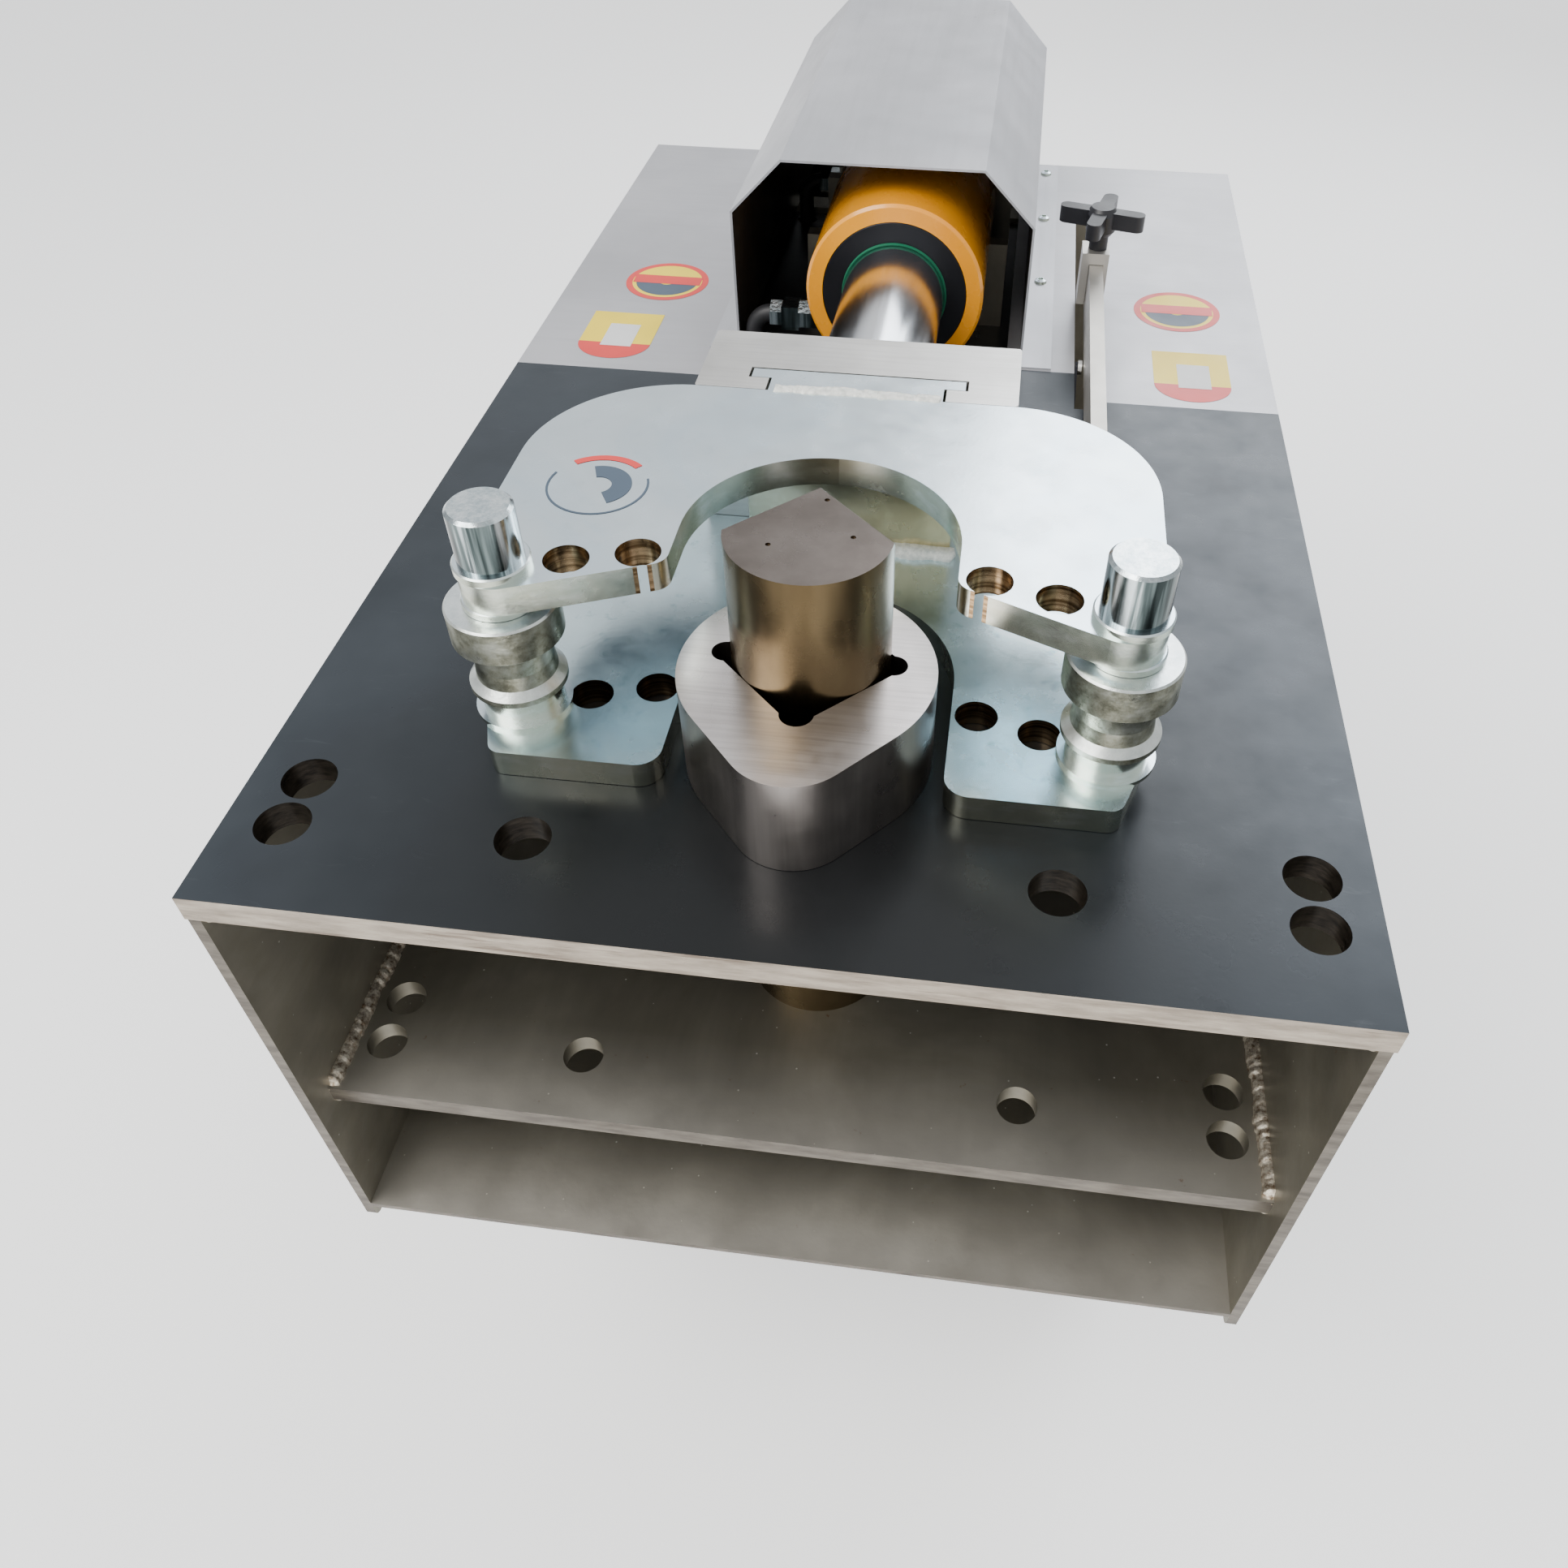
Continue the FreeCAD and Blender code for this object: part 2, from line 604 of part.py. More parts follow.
def crosshead_keeper():
    key = box((-GUIDE_HALF + GAP, GUIDE_HALF - GAP), (402, 470), (-TABLE_THICK - GAP, GAP))
    low = -TABLE_THICK - GAP - KEEPER_THICK
    bar = box((-KEEPER_HALF, KEEPER_HALF), (402, 470), (low, -TABLE_THICK - GAP))
    return joined([key, bar])


def piston_rod():
    y0, y1 = HEAD_REAR - ROD_SOCKET, PISTON_FRONT
    body = rod_y(0, CYL_Z, ROD_R, y0, y1)
    spigot = rod_y(0, CYL_Z, 30, y1, y1 + PISTON_THICK - 5)
    return joined([body, spigot])


def piston():
    y0, y1 = PISTON_FRONT, PISTON_FRONT + PISTON_THICK
    r, groove = CYL_BORE_R - 0.3, CYL_BORE_R - 6
    body = turned_y([(0, y1 - 5), (30, y1 - 5), (30, y0), (r, y0), (r, y1), (0, y1)], 0, CYL_Z)
    cuts = []
    for low in (y0 + 10, y1 - 17):
        cuts.append(turned_y([(groove, low), (r + 1, low), (r + 1, low + 7), (groove, low + 7)], 0, CYL_Z))
    return drilled(body, cuts)


def piston_seals():
    y0, y1 = PISTON_FRONT, PISTON_FRONT + PISTON_THICK
    r, groove = CYL_BORE_R - 0.05, CYL_BORE_R - 6
    rings = []
    for low in (y0 + 10, y1 - 17):
        rings.append(turned_y([(groove, low), (r, low), (r, low + 7), (groove, low + 7)], 0, CYL_Z))
    return rings


# ---------------------------------------------------------------- cylinder
def cylinder_barrel():
    body = rod_y(0, CYL_Z, CYL_R, CYL_FRONT, CAP_FRONT)
    body = body.cut(rod_y(0, CYL_Z, CYL_BORE_R, CYL_FRONT - 1, CAP_FRONT + 1))
    front = [e for e in body.Edges if abs(e.BoundBox.YMax - CYL_FRONT) < 1e-6]
    rim = [e for e in front if e.BoundBox.ZLength > 2 * CYL_R - 1]
    return body.makeChamfer(2.5, rim)


def cylinder_gland():
    y0, y1 = CYL_FRONT, CYL_FRONT + GLAND_LENGTH
    bore, lip = ROD_R + RUN, 46.8
    r = CYL_BORE_R
    profile = [(lip, y0), (r - 1, y0), (r, y0 + 1), (r, y1), (bore, y1), (bore, y0 + 9), (lip, y0 + 9)]
    return turned_y(profile, 0, CYL_Z)


def rod_wiper():
    y0 = CYL_FRONT
    bore = ROD_R + RUN
    profile = [(bore, y0 - 1), (46.2, y0 - 3), (46.8, y0 - 1), (46.8, y0 + 9), (bore, y0 + 9)]
    return turned_y(profile, 0, CYL_Z)


def cap_bolt_places():
    reach = 66.0 / math.sqrt(2)
    return [(a * reach, CYL_Z + b * reach) for a in (-1, 1) for b in (-1, 1)]


def cap_bolt_hole(x, z):
    return rod_y(x, z, 7, CAP_REAR - 20, CAP_REAR + BULKHEAD_THICK + 1)


def cylinder_cap():
    plug = rod_y(0, CYL_Z, CYL_BORE_R, CAP_PLUG_FRONT, CAP_FRONT)
    disc = rod_y(0, CYL_Z, CYL_R, CAP_FRONT, CAP_REAR)
    return drilled(joined([plug, disc]), [cap_bolt_hole(x, z) for x, z in cap_bolt_places()])


def cap_bolts():
    bolts = []
    y1 = CAP_REAR + BULKHEAD_THICK
    for x, z in cap_bolt_places():
        head = rod_y(x, z, 11, y1, y1 + 12).cut(hexagon(V(x, y1 + 6, z), Y, 11, 12))
        bolts.append(head.fuse(rod_y(x, z, 7, CAP_REAR - 20, y1)).removeSplitter())
    return bolts


def port_elbow(y):
    """Hexagon nipple into the cylinder wall, a square block and a nut that points to the left."""
    nipple = hexagon(V(-90, y, PORT_Z), X, 24, 28).cut(rod_y(0, CYL_Z, CYL_R, y - 40, y + 40))
    body = box((-106, -90), (y - 11, y + 11), (PORT_Z - 11, PORT_Z + 11))
    nut = hexagon(V(-106, y, PORT_Z), V(-1, 0, 0), 22, 11)
    return joined([nipple, body, nut]).cut(rod_x(y, PORT_Z, LINE_R, -130, -110))


def rod_side_line():
    y = FRONT_PORT_Y
    points = [V(-110, y, PORT_Z), V(LINE_X, y, PORT_Z), V(LINE_X, y, BLOCK_TOP)]
    return tube_path(points, LINE_R, [ELBOW_BEND])


def cap_side_line():
    y0, y1 = REAR_PORT_Y, LINE_Y[1]
    points = [V(-110, y0, PORT_Z), V(LINE_X, y0, PORT_Z), V(LINE_X, y0, -110), V(LINE_X, y1, -110),
              V(LINE_X, y1, BLOCK_TOP)]
    return tube_path(points, LINE_R, [ELBOW_BEND, LINE_BEND, LINE_BEND])


# ---------------------------------------------------------------- bend-angle stop
def trip_blade():
    """Flat bar on edge, its rear end riding in the cover slot, with an arm to the crosshead."""
    upper = box((BLADE_LEFT, BLADE_RIGHT), (BLADE_FRONT, BLADE_REAR), (3, BLADE_TOP))
    tongue = box((BLADE_LEFT + 2, BLADE_RIGHT - 1), (690, BLADE_REAR), (-14, 3))
    arm = box((HEAD_HALF, BLADE_LEFT), (BLADE_FRONT, BLADE_FRONT + 28), (6, 30))
    return joined([upper, tongue, arm])


def stop_block():
    """Clamp that slides along the blade; its top carries the clamping stud."""
    y = (STOP_Y - 15, STOP_Y + 15)
    body = box((BLADE_LEFT - 8, BLADE_RIGHT + 5), y, (7, STOP_TOP))
    channel = box((BLADE_LEFT - GAP, BLADE_RIGHT + GAP), (y[0] - 1, y[1] + 1), (0, BLADE_TOP + GAP))
    return drilled(body, [channel, rod_z(BLADE_MID, STOP_Y, STUD_R + RUN, 0, STOP_TOP + 1)])


def stop_knob():
    """A four-lobed grip on a clamping stud."""
    stud = rod_z(BLADE_MID, STOP_Y, STUD_R, BLADE_TOP + 1, 82)
    hub = turned([(0, 72), (11, 72), (14, 76), (15, 92), (11, 98), (0, 98)], BLADE_MID, STOP_Y)
    collar = turned([(0, STOP_TOP + 0.4), (9, STOP_TOP + 0.4), (9, 72), (0, 72)], BLADE_MID, STOP_Y)
    pieces = [stud, hub, collar]
    for k in range(4):
        arm = box((0, 34), (-7, 7), (80, 95))
        tip = rod_z(34, 0, 7, 80, 95)
        lobe = joined([arm, tip])
        lobe.rotate(V(), Z, 90 * k - 14)
        pieces.append(lobe.translated(V(BLADE_MID, STOP_Y, 0)))
    return joined(pieces)


def limit_switch():
    """The switch case hangs from the right inner beam, with a boss for its lever."""
    y, z = LEVER_PIVOT
    case = box((HOOD_RIGHT, 158), (y - 15, y + 45), (z - 46, z + 12))
    boss = rod_x(y, z, 9, 158, 164)
    return joined([case, boss]).cut(rod_x(y, z, 3 + RUN, 146, 180))


def limit_lever():
    (py, pz), (ty, tz) = LEVER_PIVOT, LEVER_TIP
    length = math.hypot(ty - py, tz - pz)
    arm = box((LEVER_X - 3, LEVER_X - 1), (0, length), (-4, 4))
    arm = arm.fuse([rod_x(0, 0, 6, LEVER_X - 3, LEVER_X - 1), rod_x(length, 0, 5, LEVER_X - 3, LEVER_X - 1)])
    arm.rotate(V(), X, math.degrees(math.atan2(tz - pz, ty - py)))
    arm = arm.translated(V(0, py, pz))
    shaft = rod_x(py, pz, 3, 148, LEVER_X - 1)
    axle = rod_x(ty, tz, 1.5, LEVER_X - 2, LEVER_X + 3)
    return joined([arm, shaft, axle])


def limit_roller():
    y, z = LEVER_TIP
    body = rod_x(y, z, 6.5, LEVER_X - 0.6, LEVER_X + 3)
    return body.cut(rod_x(y, z, 1.5 + RUN, LEVER_X - 3, LEVER_X + 4))


# ---------------------------------------------------------------- hydraulic power pack
def oil_tank():
    """Welded open tank: floor, two sides, two ends, and stiffening ribs on the left side."""
    wall = 3.0
    z = (PACK_FLOOR + wall, TANK_TOP)
    floor = box(TANK_X, TANK_Y, (PACK_FLOOR, PACK_FLOOR + wall))
    left = box((TANK_X[0], TANK_X[0] + wall), TANK_Y, z)
    right = box((TANK_X[1] - wall, TANK_X[1]), TANK_Y, z)
    x = (TANK_X[0] + wall, TANK_X[1] - wall)
    front = box(x, (TANK_Y[0], TANK_Y[0] + wall), z)
    rear = box(x, (TANK_Y[1] - wall, TANK_Y[1]), z)
    ribs = []
    for y0 in range(520, 1000, 90):
        ribs.append(box((TANK_X[0] - 6, TANK_X[0]), (y0, y0 + 6), (PACK_FLOOR + 30, TANK_TOP - 30)))
    return [floor, joined([left] + ribs), right, front, rear]


def tank_lid():
    over = 8
    x = (TANK_X[0] - over, TANK_X[1] + over)
    body = box(x, (TANK_Y[0] - over, TANK_Y[1] + over), (TANK_TOP, LID_TOP))
    holes = [rod_z(x0, y0, 3.1, TANK_TOP - 1, LID_TOP + 1) for x0, y0 in tank_screw_places()]
    return drilled(body, holes + [rod_z(FILLER[0], FILLER[1], 20, TANK_TOP - 1, LID_TOP + 1)])


def filler_cap():
    """Knurled breather cap with a plug that sits in the lid."""
    x, y = FILLER
    low, top = LID_TOP + 0.4, LID_TOP + 28
    body = turned([(0, low), (27, low), (27, top - 4), (24, top), (0, top)], x, y)
    for k in range(12):
        a = math.radians(30 * k)
        body = body.cut(rod_z(x + 29 * math.cos(a), y + 29 * math.sin(a), 4, LID_TOP, LID_TOP + 30))
    plug = rod_z(x, y, 20 - RUN, TANK_TOP, LID_TOP + 1)
    return joined([body, plug])


def tank_screw_places():
    return [(x, y) for x in (TANK_X[0] + 14, TANK_X[1] - 14) for y in (490, 650, 850, 1020)]


def tank_screws():
    return [button_screw(x, y, LID_TOP, 3, 6, 4, LID_TOP - TANK_TOP) for x, y in tank_screw_places()]


def valve_block():
    body = box((-165, -100), (675, 785), (LID_TOP, BLOCK_TOP))
    nuts = [hexagon(V(LINE_X, y, BLOCK_TOP), Z, 24, 14) for y in LINE_Y]
    body = joined([body] + nuts)
    return drilled(body, [rod_z(LINE_X, y, LINE_R, BLOCK_TOP, BLOCK_TOP + 20) for y in LINE_Y])


def solenoid_valve():
    """Spool valve body with a coil at each end."""
    z = (LID_TOP + BLOCK_TOP) / 2
    body = box((-215, -165), (695, 765), (LID_TOP + 6, BLOCK_TOP - 4))
    coils = [rod_y(-190, z, 21, y0, y0 + 55) for y0 in (640, 765)]
    nuts = [hexagon(V(-190, y0, z), Y, 18, 10) for y0 in (630, 820)]
    plugs = [box((-203, -177), (y0, y0 + 26), (z + 15, z + 34)) for y0 in (654, 779)]
    return joined([body] + coils + nuts + plugs)


def motor_body():
    """Finned motor barrel with its end bells, feet and terminal box."""
    y0, y1 = 640, 880
    body = rod_y(MOTOR_X, MOTOR_Z, MOTOR_R - 10, y0, y1)
    parts = [body]
    for k in range(24):
        if k in (17, 18, 19):
            continue
        fin = box((MOTOR_R - 12, MOTOR_R), (y0 + 6, y1 - 6), (-1.5, 1.5))
        fin.rotate(V(), Y, 15 * k)
        parts.append(fin.translated(V(MOTOR_X, 0, MOTOR_Z)))
    parts += [rod_y(MOTOR_X, MOTOR_Z, MOTOR_R, y, y + 20) for y in (y0 - 20, y1)]
    for y in (y0 + 20, y1 - 60):
        parts.append(box((MOTOR_X - 75, MOTOR_X + 75), (y, y + 40), (PACK_FLOOR, PACK_FLOOR + 12)))
        for x in (MOTOR_X - 55, MOTOR_X + 43):
            parts.append(box((x, x + 12), (y, y + 40), (PACK_FLOOR + 12, MOTOR_Z - 30)))
    terminal = MOTOR_Z + MOTOR_R
    parts.append(box((MOTOR_X - 45, MOTOR_X + 45), (700, 800), (terminal - 14, terminal + 40)))
    return joined(parts).cut(rod_y(MOTOR_X, MOTOR_Z, SHAFT_R + RUN, y0 - 30, y1 + 30))


def fan_cowl():
    """Pressed cowl with radial air slots in its rear face."""
    y0, y1 = 900, 960
    r = MOTOR_R + 3
    outside = [(r - 2, y0), (r, y0), (r, y1 - 12), (r - 12, y1)]
    inside = [(0, y1), (0, y1 - 2), (r - 13, y1 - 2), (r - 2, y1 - 13)]
    body = turned_y(outside + inside, MOTOR_X, MOTOR_Z)
    for k in range(18):
        slot = box((24, 62), (y1 - 6, y1 + 4), (-3, 3))
        slot.rotate(V(), Y, 20 * k)
        body = body.cut(slot.translated(V(MOTOR_X, 0, MOTOR_Z)))
    ring = turned_y([(MOTOR_R, y0), (r, y0), (r, y0 + 6), (MOTOR_R, y0 + 6)], MOTOR_X, MOTOR_Z)
    band = turned_y([(MOTOR_R, y0 - 14), (r, y0 - 14), (r, y0), (MOTOR_R, y0)], MOTOR_X, MOTOR_Z)
    return joined([body, ring, band])


def motor_shaft():
    """Motor shaft with its cooling fan at the rear."""
    shaft = rod_y(MOTOR_X, MOTOR_Z, SHAFT_R, 575, 945)
    hub = turned_y([(0, 912), (26, 912), (26, 944), (0, 944)], MOTOR_X, MOTOR_Z)
    parts = [shaft, hub]
    for k in range(8):
        blade = box((22, 70), (914, 940), (-1.5, 1.5))
        blade.rotate(V(), Y, 45 * k)
        parts.append(blade.translated(V(MOTOR_X, 0, MOTOR_Z)))
    return joined(parts)


def bell_housing():
    """Open-sided housing between motor and pump."""
    profile = [(52, 560), (70, 560), (70, 620), (52, 620)]
    body = turned_y(profile, MOTOR_X, MOTOR_Z)
    for side in (-1, 1):
        x = MOTOR_X + side * 61
        body = body.cut(box((x - 14, x + 14), (575, 605), (MOTOR_Z - 24, MOTOR_Z + 24)))
    return body


def gear_pump():
    body = box((MOTOR_X - 45, MOTOR_X + 45), (470, 550), (MOTOR_Z - 52, MOTOR_Z + 52))
    flange = rod_y(MOTOR_X, MOTOR_Z, 70, 550, 560)
    cover = box((MOTOR_X - 40, MOTOR_X + 40), (458, 470), (MOTOR_Z - 46, MOTOR_Z + 46))
    heads = [hexagon(V(MOTOR_X + a * 30, 452, MOTOR_Z + b * 36), Y, 13, 6) for a in (-1, 1) for b in (-1, 1)]
    suction = hexagon(V(MOTOR_X - 45, 510, MOTOR_Z), V(-1, 0, 0), 36, 18)
    outlet = hexagon(V(MOTOR_X, 510, MOTOR_Z + 52), Z, 27, 16)
    body = joined([body, flange, cover, suction, outlet] + heads)
    suction_port = rod_x(510, MOTOR_Z, 14, MOTOR_X - 70, MOTOR_X - 55)
    outlet_port = rod_z(MOTOR_X, 510, LINE_R, MOTOR_Z + 62, MOTOR_Z + 90)
    shaft_hole = rod_y(MOTOR_X, MOTOR_Z, SHAFT_R + 4, 549, 570)
    return drilled(body, [suction_port, outlet_port, shaft_hole])


def drive_coupling():
    """Jaw coupling that joins the motor shaft to the pump's shaft."""
    hub = turned_y([(SHAFT_R, 576), (34, 576), (34, 604), (SHAFT_R, 604)], MOTOR_X, MOTOR_Z)
    stub = rod_y(MOTOR_X, MOTOR_Z, SHAFT_R, 552, 575)
    for k in range(3):
        slot = box((22, 40), (586, 594), (-5, 5))
        slot.rotate(V(), Y, 120 * k)
        hub = hub.cut(slot.translated(V(MOTOR_X, 0, MOTOR_Z)))
    return [hub, stub]


def suction_line():
    return rod_x(510, MOTOR_Z, 14, TANK_X[1], MOTOR_X - 55)


def pressure_line():
    z = (LID_TOP + BLOCK_TOP) / 2
    points = [V(MOTOR_X, 510, MOTOR_Z + 62), V(MOTOR_X, 510, z), V(MOTOR_X, 730, z), V(-100, 730, z)]
    return tube_path(points, LINE_R, [LINE_BEND, LINE_BEND])


# ---------------------------------------------------------------- control cabinet on the rear plate
CABINET_X = (-150.0, 150.0)
CABINET_Z = (-330.0, -120.0)
CABINET_FRONT = BED_LENGTH
CABINET_DEPTH = 100.0
DOOR_Y = CABINET_FRONT + CABINET_DEPTH
DOOR_THICK = 14.0
HINGE_X = CABINET_X[0] - 6.0
BEZEL = 2.0
BUTTON_TRAVEL = 4.0
BUTTON_Y = DOOR_Y + DOOR_THICK + BEZEL + GAP
ESTOP = (90.0, -180.0)
START = (0.0, -180.0)
LAMP = (-80.0, -180.0)
SWITCH = (90.0, -270.0)


def control_cabinet():
    """Open box of five sheet panels; the left one carries the hinge knuckles."""
    y = (CABINET_FRONT, DOOR_Y)
    deep = (y[0] + 2, y[1])
    across = (CABINET_X[0] + 2, CABINET_X[1] - 2)
    back = box(CABINET_X, (y[0], y[0] + 2), CABINET_Z)
    left = box((CABINET_X[0], CABINET_X[0] + 2), deep, CABINET_Z)
    right = box((CABINET_X[1] - 2, CABINET_X[1]), deep, CABINET_Z)
    top = box(across, deep, (CABINET_Z[1] - 2, CABINET_Z[1]))
    bottom = box(across, deep, (CABINET_Z[0], CABINET_Z[0] + 2))
    hinge_z = (CABINET_Z[0] + 30, CABINET_Z[1] - 52)
    knuckles = [rod_z(HINGE_X, DOOR_Y + 4, 5, z, z + 22) for z in hinge_z]
    leaves = [box((HINGE_X, CABINET_X[0]), (DOOR_Y - 14, DOOR_Y + 4), (z, z + 22)) for z in hinge_z]
    pin_holes = [rod_z(HINGE_X, DOOR_Y + 4, 2.5 + RUN, CABINET_Z[0], CABINET_Z[1])]
    left = drilled(joined([left] + knuckles + leaves), pin_holes)
    glands = [rod_z(x, DOOR_Y - 50, 12, CABINET_Z[0] - 1, CABINET_Z[0] + 3) for x in (-70, 0)]
    return [back, left, right, top, drilled(bottom, glands)]


def cabinet_door():
    y = (DOOR_Y + 1, DOOR_Y + DOOR_THICK)
    x = (CABINET_X[0] + 0.4, CABINET_X[1] + 2)
    z = (CABINET_Z[0] - 2, CABINET_Z[1] + 2)
    outer = box(x, y, z)
    inner = box((x[0] + 2, x[1] - 2), (y[0] - 1, y[1] - 2), (z[0] + 2, z[1] - 2))
    body = outer.cut(inner)
    low, high = CABINET_Z[0] + 52.5, CABINET_Z[1] - 52.5
    knuckles = [rod_z(HINGE_X, DOOR_Y + 4, 5, z0, z0 + 22) for z0 in (low, high - 22)]
    leaves = [box((HINGE_X, x[0] + 1), (DOOR_Y + 3, DOOR_Y + 9), (z0, z0 + 22)) for z0 in (low, high - 22)]
    hinge_pins = [rod_z(HINGE_X, DOOR_Y + 4, 2.5, z0, z0 + 44) for z0 in (low - 22, high - 22)]
    body = joined([body] + knuckles + leaves + hinge_pins)
    cuts = [rod_y(x0, z0, 8 + RUN, y[0] - 1, y[1] + 1) for x0, z0 in (ESTOP, START)]
    cuts += [rod_y(x0, z0, 6 + RUN, y[0] - 1, y[1] + 1) for x0, z0 in (SWITCH,)]
    cuts.append(rod_y(LAMP[0], LAMP[1], 9, y[0] - 1, y[1] + 1))
    return drilled(body, cuts)


def round_control(place, head_r, stem_r, reach):
    """A push button: round head outside the door on a stem that passes through it."""
    x, z = place
    low = BUTTON_Y + BUTTON_TRAVEL
    top = low + reach
    head = turned_y([(0, low), (head_r, low), (head_r, top - 4), (head_r - 4, top), (0, top)], x, z)
    stem = rod_y(x, z, stem_r, DOOR_Y - 6, low + 1)
    return joined([head, stem])


def button_collar(place, r, hole):
    """The bezel ring that a button moves through."""
    x, z = place
    y = DOOR_Y + DOOR_THICK
    return turned_y([(hole, y), (r, y), (r - 1, y + BEZEL), (hole, y + BEZEL)], x, z)


def button_bezels():
    rings = [button_collar(ESTOP, 20, 8 + RUN), button_collar(START, 16, 8 + RUN)]
    return rings + [button_collar(SWITCH, 17, 6 + RUN)]


def power_lamp():
    y = DOOR_Y + DOOR_THICK
    x, z = LAMP
    return turned_y([(0, y - 4), (9, y - 4), (9, y), (14, y), (14, y + 5), (9, y + 11), (0, y + 13)], x, z)


def main_switch():
    """Rotary isolator handle."""
    x, z = SWITCH
    y = BUTTON_Y
    disc = rod_y(x, z, 15, y, y + 7)
    grip = box((x - 5, x + 5), (y + 7, y + 17), (z - 14, z + 14))
    stem = rod_y(x, z, 6, DOOR_Y - 6, y + 1)
    return joined([disc, grip, stem])


def cable_glands():
    """Two empty compression glands in the cabinet's underside."""
    glands = []
    for x in (-70, 0):
        y, z = DOOR_Y - 50, CABINET_Z[0]
        nut = hexagon(V(x, y, z), V(0, 0, -1), 32, 12)
        dome = turned([(8, z - 22), (13, z - 20), (15, z - 12), (8, z - 12)], x, y)
        thread = rod_z(x, y, 12, z, z + 8)
        glands.append(joined([nut, dome, thread]).cut(rod_z(x, y, 8, z - 30, z + 20)))
    return glands


# ---------------------------------------------------------------- export
def save(name, shapes):
    """Write one node, moved to the row frame."""
    solids = shapes if isinstance(shapes, list) else [shapes]
    shape = solids[0] if len(solids) == 1 else Part.makeCompound(solids)
    shape = shape.translated(V(0, -OVERALL_LENGTH / 2, TABLE_HEIGHT))
    shape.exportStep(os.path.join("parts", name + ".step"))


def drilled_keeper():
    low = -TABLE_THICK - GAP - KEEPER_THICK
    return drilled(crosshead_keeper(), [rod_z(x, y, 6, low - 1, 1) for x, y in KEEPER_BOLTS])


def keeper_bolts():
    low = -TABLE_THICK - GAP - KEEPER_THICK
    bolts = []
    for x, y in KEEPER_BOLTS:
        head = rod_z(x, y, 9, low - 12, low).cut(hexagon(V(x, y, low - 6), V(0, 0, -1), 10, 12))
        bolts.append(head.fuse(rod_z(x, y, 6, low, 16)).removeSplitter())
    return bolts


NODES = {
    "top_plate": top_plate(),
    "mid_shelf": mid_shelf(),
    "bottom_plate": bottom_plate(),
    "side_plates": [side_plate(-1), side_plate(1)],
    "rear_plate": rear_plate(),
    "rear_bulkhead": rear_bulkhead(),
    "inner_beams": [inner_beam(TRAY_LEFT - BEAM_THICK), inner_beam(TRAY_RIGHT)],
    "cylinder_saddles": saddle(SADDLES[0]) + saddle(SADDLES[1]),
    "cylinder_tray": cylinder_tray(),
    "cover_left": cover_left(),
    "cover_right": cover_right(),
    "hood": hood(),
    "sheet_screws": hood_screws() + tank_screws(),
    "stand_legs": [leg(side * LEG_X, y) for side in (-1, 1) for y in LEG_Y],
    "foot_plates": [foot_plate(side * LEG_X, y) for side in (-1, 1) for y in LEG_Y],
    "stand_rails": stand_rails(),
    "pack_shelf": pack_shelf(),
    "post_sleeve": post_sleeve(),
    "centre_post": centre_post(),
    "former": former(),
    "yoke_upper_plate": yoke_upper_plate(),
    "yoke_lower_plate": yoke_lower_plate(),
    "yoke_web": yoke_web(),
    "yoke_tongue": yoke_tongue(),
    "roller_pin_left": pin(-1),
    "roller_pin_right": pin(1),
    "roller_left": roller(-1),
    "roller_right": roller(1),
    "roller_spacers": roller_collars(-1) + roller_collars(1),
    "crosshead": crosshead(),
    "crosshead_keeper": drilled_keeper(),
    "keeper_bolts": keeper_bolts(),
    "piston_rod": piston_rod(),
    "piston": [piston()] + piston_seals(),
    "cylinder_barrel": cylinder_barrel(),
    "cylinder_gland": cylinder_gland(),
    "rod_wiper": rod_wiper(),
    "cylinder_cap": cylinder_cap(),
    "cap_bolts": cap_bolts(),
    "port_elbows": [port_elbow(y) for y in (FRONT_PORT_Y, REAR_PORT_Y)],
    "oil_lines": [rod_side_line(), cap_side_line(), suction_line(), pressure_line()],
    "trip_blade": trip_blade(),
    "stop_block": stop_block(),
    "stop_knob": stop_knob(),
    "limit_switch": limit_switch(),
    "limit_lever": limit_lever(),
    "limit_roller": limit_roller(),
    "oil_tank": oil_tank(),
    "tank_lid": tank_lid(),
    "filler_cap": filler_cap(),
    "valve_block": [valve_block(), solenoid_valve()],
    "motor_body": [motor_body(), fan_cowl()],
    "motor_shaft": [motor_shaft()] + drive_coupling(),
    "gear_pump": [gear_pump(), bell_housing()],
    "control_cabinet": control_cabinet(),
    "cabinet_door": [cabinet_door(), power_lamp()] + button_bezels(),
    "emergency_button": round_control(ESTOP, 18, 8, 16),
    "start_button": round_control(START, 13, 8, 6),
    "main_switch": main_switch(),
    "cable_glands": cable_glands(),
}

os.makedirs("parts", exist_ok=True)
for node_name, node_shapes in NODES.items():
    save(node_name, node_shapes)
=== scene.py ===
import math
import random

import bpy
import bmesh
from mathutils import Matrix, Vector


